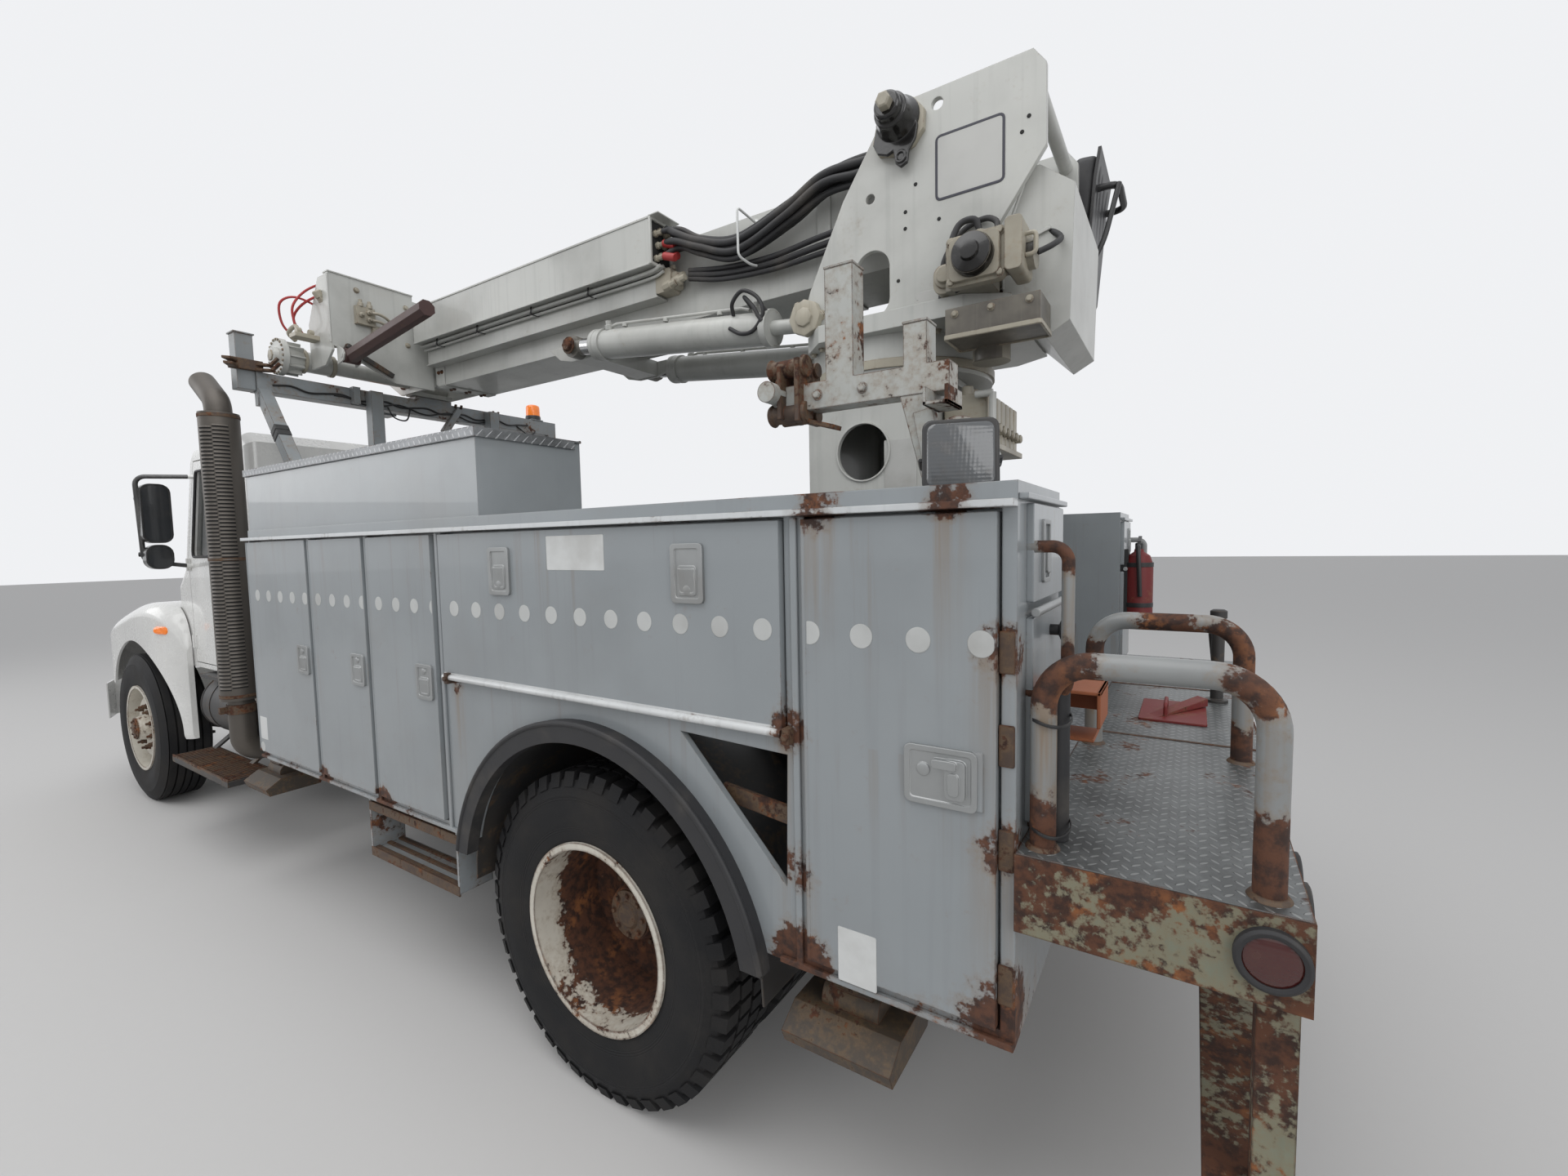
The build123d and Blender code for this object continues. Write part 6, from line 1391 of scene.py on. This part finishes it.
for x, y, z in block:
    fittings.turned((x, y, z), (-1, 0.1, 0.1), ((0, 0.022), (0.04, 0.022), (0.044, 0.016), (0.07, 0.014)), 8)
fittings.pane((-1.485, 2.895), (0.09, 0.1), 0.012, 1, (0.166, 0.232))
fittings.pane((-1.535, 2.89), (0.05, 0.07), 0.012, 1, (0.178, 0.222))
for x in (-1.45, -1.52):
    fittings.turned((x, 0.2, 2.944), (0, 0, 1), ((0, 0.013), (0.016, 0.013), (0.02, 0.008)), 6)
fittings.done("boxFittings", "boom_lower", "derrick_cream", oilyCream, bevel=0.001)

# Hose bundle from the turret along the boom; it is attached to no body
bundleLine = ((-2.78, 2.98), (-2.62, 3.045), (-2.453, 3.062), (-2.311, 3.056), (-2.148, 2.993), (-1.909, 2.931),
    (-1.717, 2.987), (-1.6, 3.045), (-1.515, 3.06))
# strands as (y offset, z offset, radius, y and z where it meets the box)
strands = ((0.0, 0.0, 0.017, 0.21, 3.05), (0.028, 0.012, 0.015, 0.235, 3.105), (-0.026, 0.018, 0.015, 0.2, 3.1),
           (0.03, -0.02, 0.014, 0.25, 3.04), (-0.022, -0.022, 0.014, 0.232, 3.0), (0.006, 0.034, 0.012, 0.265, 3.085),
           (0.006, -0.04, 0.012, 0.262, 2.98))
bundle = Shape()
for offsetY, offsetZ, radius, endY, endZ in strands:
    path = []
    for step, (x, z) in enumerate(bundleLine):
        sway = 0.006 * math.sin(step * 1.7 + offsetY * 60)
        path.append((x, 0.235 + offsetY + sway, z + offsetZ + 0.005 * math.cos(step * 2.3 + offsetZ * 50)))
    path[-1] = (-1.52, endY, endZ)
    bundle.tube(smoothPath(path, 9), radius, 12)
made = bundle.done("hoseBundle", None, "black_rubber")
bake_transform(made)
lower = Shape()
for offset, radius in ((0.0, 0.012), (0.026, 0.011), (-0.024, 0.01)):
    lower.tube(smoothPath(((-2.6, 0.232, 2.84 + offset), (-2.4, 0.235 + offset * 0.4, 2.842 + offset),
        (-2.273, 0.222 + offset * 0.4, 2.845 + offset), (-2.048, 0.21, 2.84 + offset),
        (-1.801, 0.2 - offset * 0.2, 2.862 + offset), (-1.62, 0.21, 2.895 + offset * 0.7)), 9), radius, 10)
made = lower.done("lowerHoses", None, "black_rubber")
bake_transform(made)
redEnds = Shape()
for x, y, z in ((-1.52, 0.25, 3.04), (-1.52, 0.232, 3.0), (-1.53, 0.262, 2.98)):
    redEnds.turned((x + 0.004, y, z), (-1, 0, -0.35), ((0, 0.0165), (0.06, 0.0165), (0.066, 0.0145)), 14)
redEnds.done("redHoseEnds", "boom_lower", "derrick_cream", redHose)
hook = Shape().bent(((-1.95, 0.166, 3.04), (-1.95, 0.3, 3.05), (-1.955, 0.305, 2.86), (-1.975, 0.25, 2.84),
    (-1.985, 0.21, 2.845)), 0.02, 0.005, 8)
hook.turned((-1.95, 0.164, 3.04), (0, 1, 0), ((0, 0.014), (0.006, 0.014), (0.008, 0.01)), 14)
hook.done("hoseHook", "boom_lower", "derrick_cream", labelWhite)

# Lift cylinders: glands, ports, tubes on top and the loops of hose at their rear ends
run = Vector((rodPin[0] - barrelPin[0], 0, rodPin[1] - barrelPin[1])).normalized()


def onCylinder(along, side, across=0.0, above=0.0):
    normal = Vector((-run.z, 0, run.x))
    return Vector((barrelPin[0], side * 0.265, barrelPin[1])) + run * along + normal * above + Vector((0,
        side * across, 0))


barrels = Shape()
for side in (1, -1):
    for along, width in ((0.19, 0.03), (1.13, 0.014), (1.17, 0.02)):
        barrels.hoop(onCylinder(along, side), run, 0.0645, 0.0725, width, 40)
    barrels.tube([onCylinder(along, side, 0.02, above) for along, above in ((0.3, 0.072), (0.34, 0.082),
        (1.05, 0.082), (1.1, 0.07))], 0.007, 8)
    for along in (0.45, 0.75, 1.0):
        barrels.turned(onCylinder(along, side, 0.02, 0.066), (-run.z, 0, run.x),
            ((0, 0.012), (0.012, 0.012), (0.014, 0.01)), 12)
    for along in (0.26, 1.1):
        barrels.turned(onCylinder(along, side, 0.02, 0.06), (-run.z, side * 0.3, run.x),
            ((0, 0.02), (0.02, 0.02), (0.022, 0.014), (0.04, 0.013)), 8)
barrels.done("cylinderFittings", "lift_barrels", "derrick_cream")
# loops of hose as (radius, points), a point as (along, across, above)
cylinderLoops = (
    (0.008, ((0.36, 0.045, 0.05), (0.35, 0.07, 0.09), (0.3, 0.075, 0.13), (0.23, 0.07, 0.1), (0.2, 0.068, 0.04),
             (0.24, 0.066, -0.02), (0.3, 0.066, -0.03), (0.36, 0.066, -0.005))),
    (0.008, ((0.28, 0.03, 0.075), (0.3, 0.06, 0.11), (0.25, 0.07, 0.07), (0.22, 0.07, 0.03), (0.2, 0.069, 0.01))),
    (0.006, ((0.26, -0.03, 0.08), (0.27, 0.02, 0.12), (0.22, 0.05, 0.075), (0.2, 0.045, 0.055))),
)
loops = Shape()
for side in (1, -1):
    for radius, path in cylinderLoops:
        loops.hose([onCylinder(along, side, across, above) for along, across, above in path], radius, 8)
loops.done("cylinderHoses", "lift_barrels", "black_rubber")
print("boom and cylinders")

# Tip: bolts, valve with its tubes, stay, red hoses, small arm, gear drive and pins
tip = Shape()
for y, z in ((0.3, 3.17), (0.57, 3.19), (0.3, 2.95)):
    tip.bolt((0.525, y, z), (-1, 0, 0), 0.012)
tip.box((0.495, 0.525), (0.49, 0.59), (3.0, 3.1))
tip.box((0.5, 0.525), (0.465, 0.505), (2.955, 3.01))
for y, z in ((0.515, 3.11), (0.562, 3.11)):
    tip.turned((0.505, y, z - 0.012), (0, 0, 1), ((0, 0.016), (0.02, 0.016), (0.024, 0.01), (0.04, 0.01)), 8)
for y, z in ((0.525, 3.07), (0.525, 3.03), (0.565, 3.05)):
    tip.turned((0.497, y, z), (-1, 0, 0), ((0, 0.014), (0.014, 0.014), (0.018, 0.009), (0.03, 0.008)), 8)
tipTubes = (((0.49, 0.525, 3.07), (0.472, 0.485, 3.072), (0.478, 0.44, 3.062), (0.5, 0.4, 3.045), (0.52, 0.385, 3.04)),
            ((0.49, 0.525, 3.03), (0.475, 0.485, 3.03), (0.482, 0.44, 3.022), (0.503, 0.4, 3.005), (0.52, 0.385, 3.0)))
for path in tipTubes:
    tip.hose(path, 0.0085, 10)
tip.done("tipValve", "boom_upper", "derrick_cream", oilyCream, bevel=0.002)
edge = Shape()
edge.box((0.519, 0.576), (0.258, 0.714), (3.249, 3.256))
edge.tube([(0.5275, 0.7135, z) for z in (2.87, 2.95, 3.05, 3.15, 3.24)], 0.005, 6)
edge.done("tipEdge", "boom_upper", "derrick_cream")
stay = Shape()
stay.beam((0.505, 0.655, 2.86), (0.512, 0.4, 2.745), 0.014, 0.028)
stay.bolt((0.498, 0.64, 2.853), (-1, 0, 0), 0.016)
stay.done("tipStay", "boom_upper", "frame_black", bevel=0.001)
redLoops = Shape()
for path in (((0.56, 0.62, 3.1), (0.6, 0.64, 3.19), (0.66, 0.68, 3.22), (0.72, 0.75, 3.17), (0.75, 0.8, 3.08),
              (0.76, 0.79, 2.98)),
             ((0.7, 0.6, 3.02), (0.72, 0.68, 3.1), (0.76, 0.78, 3.14), (0.8, 0.84, 3.1), (0.82, 0.83, 3.0),
              (0.82, 0.78, 2.93)),
             ((0.58, 0.58, 3.06), (0.64, 0.66, 3.16), (0.74, 0.74, 3.12), (0.8, 0.78, 3.03), (0.82, 0.72, 2.95))):
    redLoops.hose(path, 0.0065, 8)
redLoops.done("redHoses", "boom_upper", "derrick_cream", redHose)
arm = Shape()
arm.beam((0.62, 0.58, 2.93), (0.62, 0.72, 3.14), 0.045, 0.03)
arm.beam((0.56, 0.58, 2.96), (0.62, 0.66, 2.98), 0.03, 0.03)
arm.turned((0.62, 0.725, 3.145), (0, 0.55, 0.83), ((-0.02, 0.024), (0.012, 0.024), (0.018, 0.018)), 18)
for y in (0.62, 0.68, 0.74, 0.8):
    arm.turned((0.7, y - 0.012, 2.94), (0, 1, 0), ((0, 0.02), (0.024, 0.02)), 14)
arm.box((0.66, 0.74), (0.6, 0.83), (2.9, 2.925))
arm.hose(((0.7, 0.8, 2.94), (0.76, 0.79, 2.98), (0.82, 0.8, 2.95), (0.84, 0.76, 2.92)), 0.012, 8)
arm.done("tipArm", "boom_upper", "derrick_cream", oilyCream, bevel=0.003)
gearAt = (0.84, 2.812)
gear = Shape()
for turn in turns(20, 0.25):
    gear.bolt((gearAt[0] + 0.092 * math.cos(turn), 0.86, gearAt[1] + 0.092 * math.sin(turn)), (0, 1, 0), 0.006)
gear.turned((gearAt[0], 0.739, gearAt[1]), (0, 1, 0), ((-0.012, 0.056), (-0.012, 0.068), (0.004, 0.068),
    (0.004, 0.056)), 32, loop=True)
gear.turned((gearAt[0], 0.884, gearAt[1]), (0, 1, 0), ((0, 0.03), (0.006, 0.03), (0.008, 0.022)), 6)
gear.turned((gearAt[0], 0.6, gearAt[1]), (0, -1, 0), ((0, 0.056), (0.0, 0.062), (0.02, 0.062), (0.02, 0.044)), 32,
    loop=True)
gear.done("gearBolts", "boom_upper", "derrick_cream", oilyCream)
sheave = Shape()
for x, z, radius in ((0.785, 3.12, 0.034), (0.885, 2.8, 0.034), (1.145, 2.96, 0.03)):
    for side in (1, -1):
        sheave.turned((x, side * 0.138, z), (0, side, 0), ((-0.004, radius + 0.016), (0.006, radius + 0.016),
            (0.008, radius), (0.02, radius), (0.024, radius * 0.7)), 8 if radius < 0.032 else 24)
sheave.done("tipPins", "boom_upper", "derrick_cream", agedSteel)
print("tip")

# Boom rest: saddle claws, beacons, wiring, left post with its hooks, tape on the brace
gantry = Shape()
gantry.box((0.815, 0.895), (0.972, 1.052), (2.6, 2.896))
gantry.box((0.808, 0.902), (0.965, 1.059), (2.892, 2.9))
for y in (-0.17, -0.45):
    for tilt in (-1, 1):
        gantry.beam((0.855, y, 2.645), (0.855, y + tilt * 0.055, 2.7), 0.07, 0.01)
    gantry.beam((0.83, y, 2.6), (0.83, y, 2.65), 0.03, 0.03)
gantry.box((0.83, 0.88), (-0.83, -0.52), (2.699, 2.703))
gantry.pane((0.855, -0.806), (0.11, 0.11), 0.012, 2, (2.7, 2.708))
gantry.done("restSaddle", "chassis", "body_grey", rackGrey, bevel=0.002)
claws = Shape()
for z, reach in ((2.74, 0.09), (2.71, 0.11)):
    claws.beam((0.82, 0.965, z), (0.82 - reach, 0.93, z - 0.012), 0.04, 0.014)
    claws.beam((0.82, 1.058, z), (0.82 - reach, 1.12, z - 0.008), 0.04, 0.014)
    claws.beam((0.82 - reach, 0.93, z - 0.012), (0.8 - reach, 0.9, z + 0.03), 0.03, 0.012)
claws.box((0.79, 0.83), (0.94, 1.085), (2.7, 2.756))
for y in (-0.19, -0.15, -0.47, -0.43):
    claws.beam((0.81, y, 2.69), (0.78, y + 0.012, 2.705), 0.016, 0.012)
claws.done("restClaws", "chassis", "rusty_steel", agedSteel, bevel=0.003)
for name, y, x, z in (("Left", 0.249, 0.96, 2.601), ("Right", -0.806, 0.855, 2.708)):
    dome = Shape().turned((x, y, z + 0.03), (0, 0, 1), ((0, 0.0515), (0.062, 0.0505), (0.076, 0.046), (0.084, 0.034),
        (0.087, 0.012)), 40)
    dome.done("beacon" + name, "chassis", "body_grey", amberLens)
    foot = Shape().turned((x, y, z), (0, 0, 1), ((0, 0.056), (0.022, 0.0555), (0.031, 0.0525)), 40)
    foot.done("beaconBase" + name, "chassis", "black_plastic")
wiring = Shape()
wiring.hose([(0.80, 0.9 - step * 0.085, 2.64 + 0.012 * math.sin(step * 2.1)) for step in range(20)], 0.006, 6)
wiring.hose([(0.798, 0.6 - step * 0.07, 2.625 + 0.018 * math.sin(step * 1.3 + 1)) for step in range(16)], 0.005, 6)
wiring.hose(((0.8, -0.62, 2.63), (0.79, -0.7, 2.58), (0.8, -0.77, 2.6), (0.83, -0.8, 2.66), (0.855, -0.806, 2.7)),
    0.005, 6)
wiring.hose(((0.8, 0.16, 2.63), (0.78, 0.2, 2.55), (0.79, 0.27, 2.56), (0.8, 0.3, 2.62)), 0.005, 6)
wiring.done("restWiring", "chassis", "black_plastic")
tape = Shape()
start, end = Vector((0.855, 0.935, 2.631)), Vector((0.397, 0.935, 2.04))
for share in (0.42, 0.47):
    at = start.lerp(end, share)
    tape.beam(at, at + (end - start).normalized() * 0.035, 0.066, 0.066)
tape.done("braceTape", "chassis", "black_plastic", bevel=0.003)
print("boom rest")


# Camera, light and floor
photo = {"width": 1920, "focal": 786.96}  # pixels
eye = Vector((-3.5065, 2.4481, 1.7156))
gaze = Vector((0.53619, -0.84125, -0.06928))
rightward = Vector((-0.84383, -0.53627, -0.01895))


def addCamera():
    lens = bpy.data.cameras.new("photoCamera")
    lens.sensor_width = 36.0
    lens.lens = photo["focal"] / photo["width"] * lens.sensor_width
    lens.clip_start = 0.05
    camera = bpy.data.objects.new("photoCamera", lens)
    upward = rightward.cross(gaze)
    camera.matrix_world = Matrix((rightward, upward, -gaze)).transposed().to_4x4()
    camera.location = eye
    bpy.context.scene.collection.objects.link(camera)
    bpy.context.scene.camera = camera


studio = {"sky": (0.9, 0.92, 0.95), "skyStrength": 0.6, "floor": (0.6, 0.59, 0.58), "backdrop": (0.87, 0.88, 0.9)}
# area lights as (name, from, at, size, watts)
areaLights = (
    ("overhead", (-1.0, 3.0, 8.0), (-0.5, 0.0, 1.2), 7.0, 300),
    ("fromRear", (-9.0, 5.0, 5.0), (-2.5, 0.5, 1.5), 5.0, 190),
    ("fromFront", (9.0, 6.0, 5.0), (2.0, 0.0, 1.5), 5.0, 140),
)


def addStudio():
    for name, start, target, size, watts in areaLights:
        light = bpy.data.lights.new(name, "AREA")
        light.size = size
        light.energy = watts
        holder = bpy.data.objects.new(name, light)
        holder.location = start
        holder.rotation_euler = (Vector(target) - Vector(start)).to_track_quat("-Z", "Y").to_euler()
        bpy.context.scene.collection.objects.link(holder)
    world = bpy.data.worlds.new("studioSky")
    world.use_nodes = True
    bpy.context.scene.world = world
    tree = world.node_tree
    sky = tree.nodes["Background"]
    sky.inputs["Color"].default_value = (*studio["sky"], 1.0)
    sky.inputs["Strength"].default_value = studio["skyStrength"]
    shown = tree.nodes.new("ShaderNodeBackground")
    shown.inputs["Color"].default_value = (*studio["backdrop"], 1.0)
    path = tree.nodes.new("ShaderNodeLightPath")
    # metal and glass show the backdrop that the camera sees
    seen = path.outputs["Is Camera Ray"]
    for ray in ("Is Glossy Ray", "Is Transmission Ray"):
        larger = tree.nodes.new("ShaderNodeMath")
        larger.operation = "MAXIMUM"
        tree.links.new(seen, larger.inputs[0])
        tree.links.new(path.outputs[ray], larger.inputs[1])
        seen = larger.outputs[0]
    choice = tree.nodes.new("ShaderNodeMixShader")
    tree.links.new(seen, choice.inputs[0])
    tree.links.new(sky.outputs[0], choice.inputs[1])
    tree.links.new(shown.outputs[0], choice.inputs[2])
    tree.links.new(choice.outputs[0], tree.nodes["World Output"].inputs["Surface"])
    bpy.ops.mesh.primitive_plane_add(size=120, location=(0, 0, 0))
    floor = bpy.context.object
    floor.name = "studioFloor"
    sheet = Sheet("floorPaint")
    grain = sheet.noise(sheet.place(), 30, 3)
    floor.data.materials.append(sheet.finish(Base_Color=sheet.mix(grain * 0.12, studio["floor"],
        shade(studio["floor"], 0.9)), Roughness=grain * 0.1 + 0.75))
    bpy.context.scene.view_settings.view_transform = "Standard"


addCamera()
addStudio()
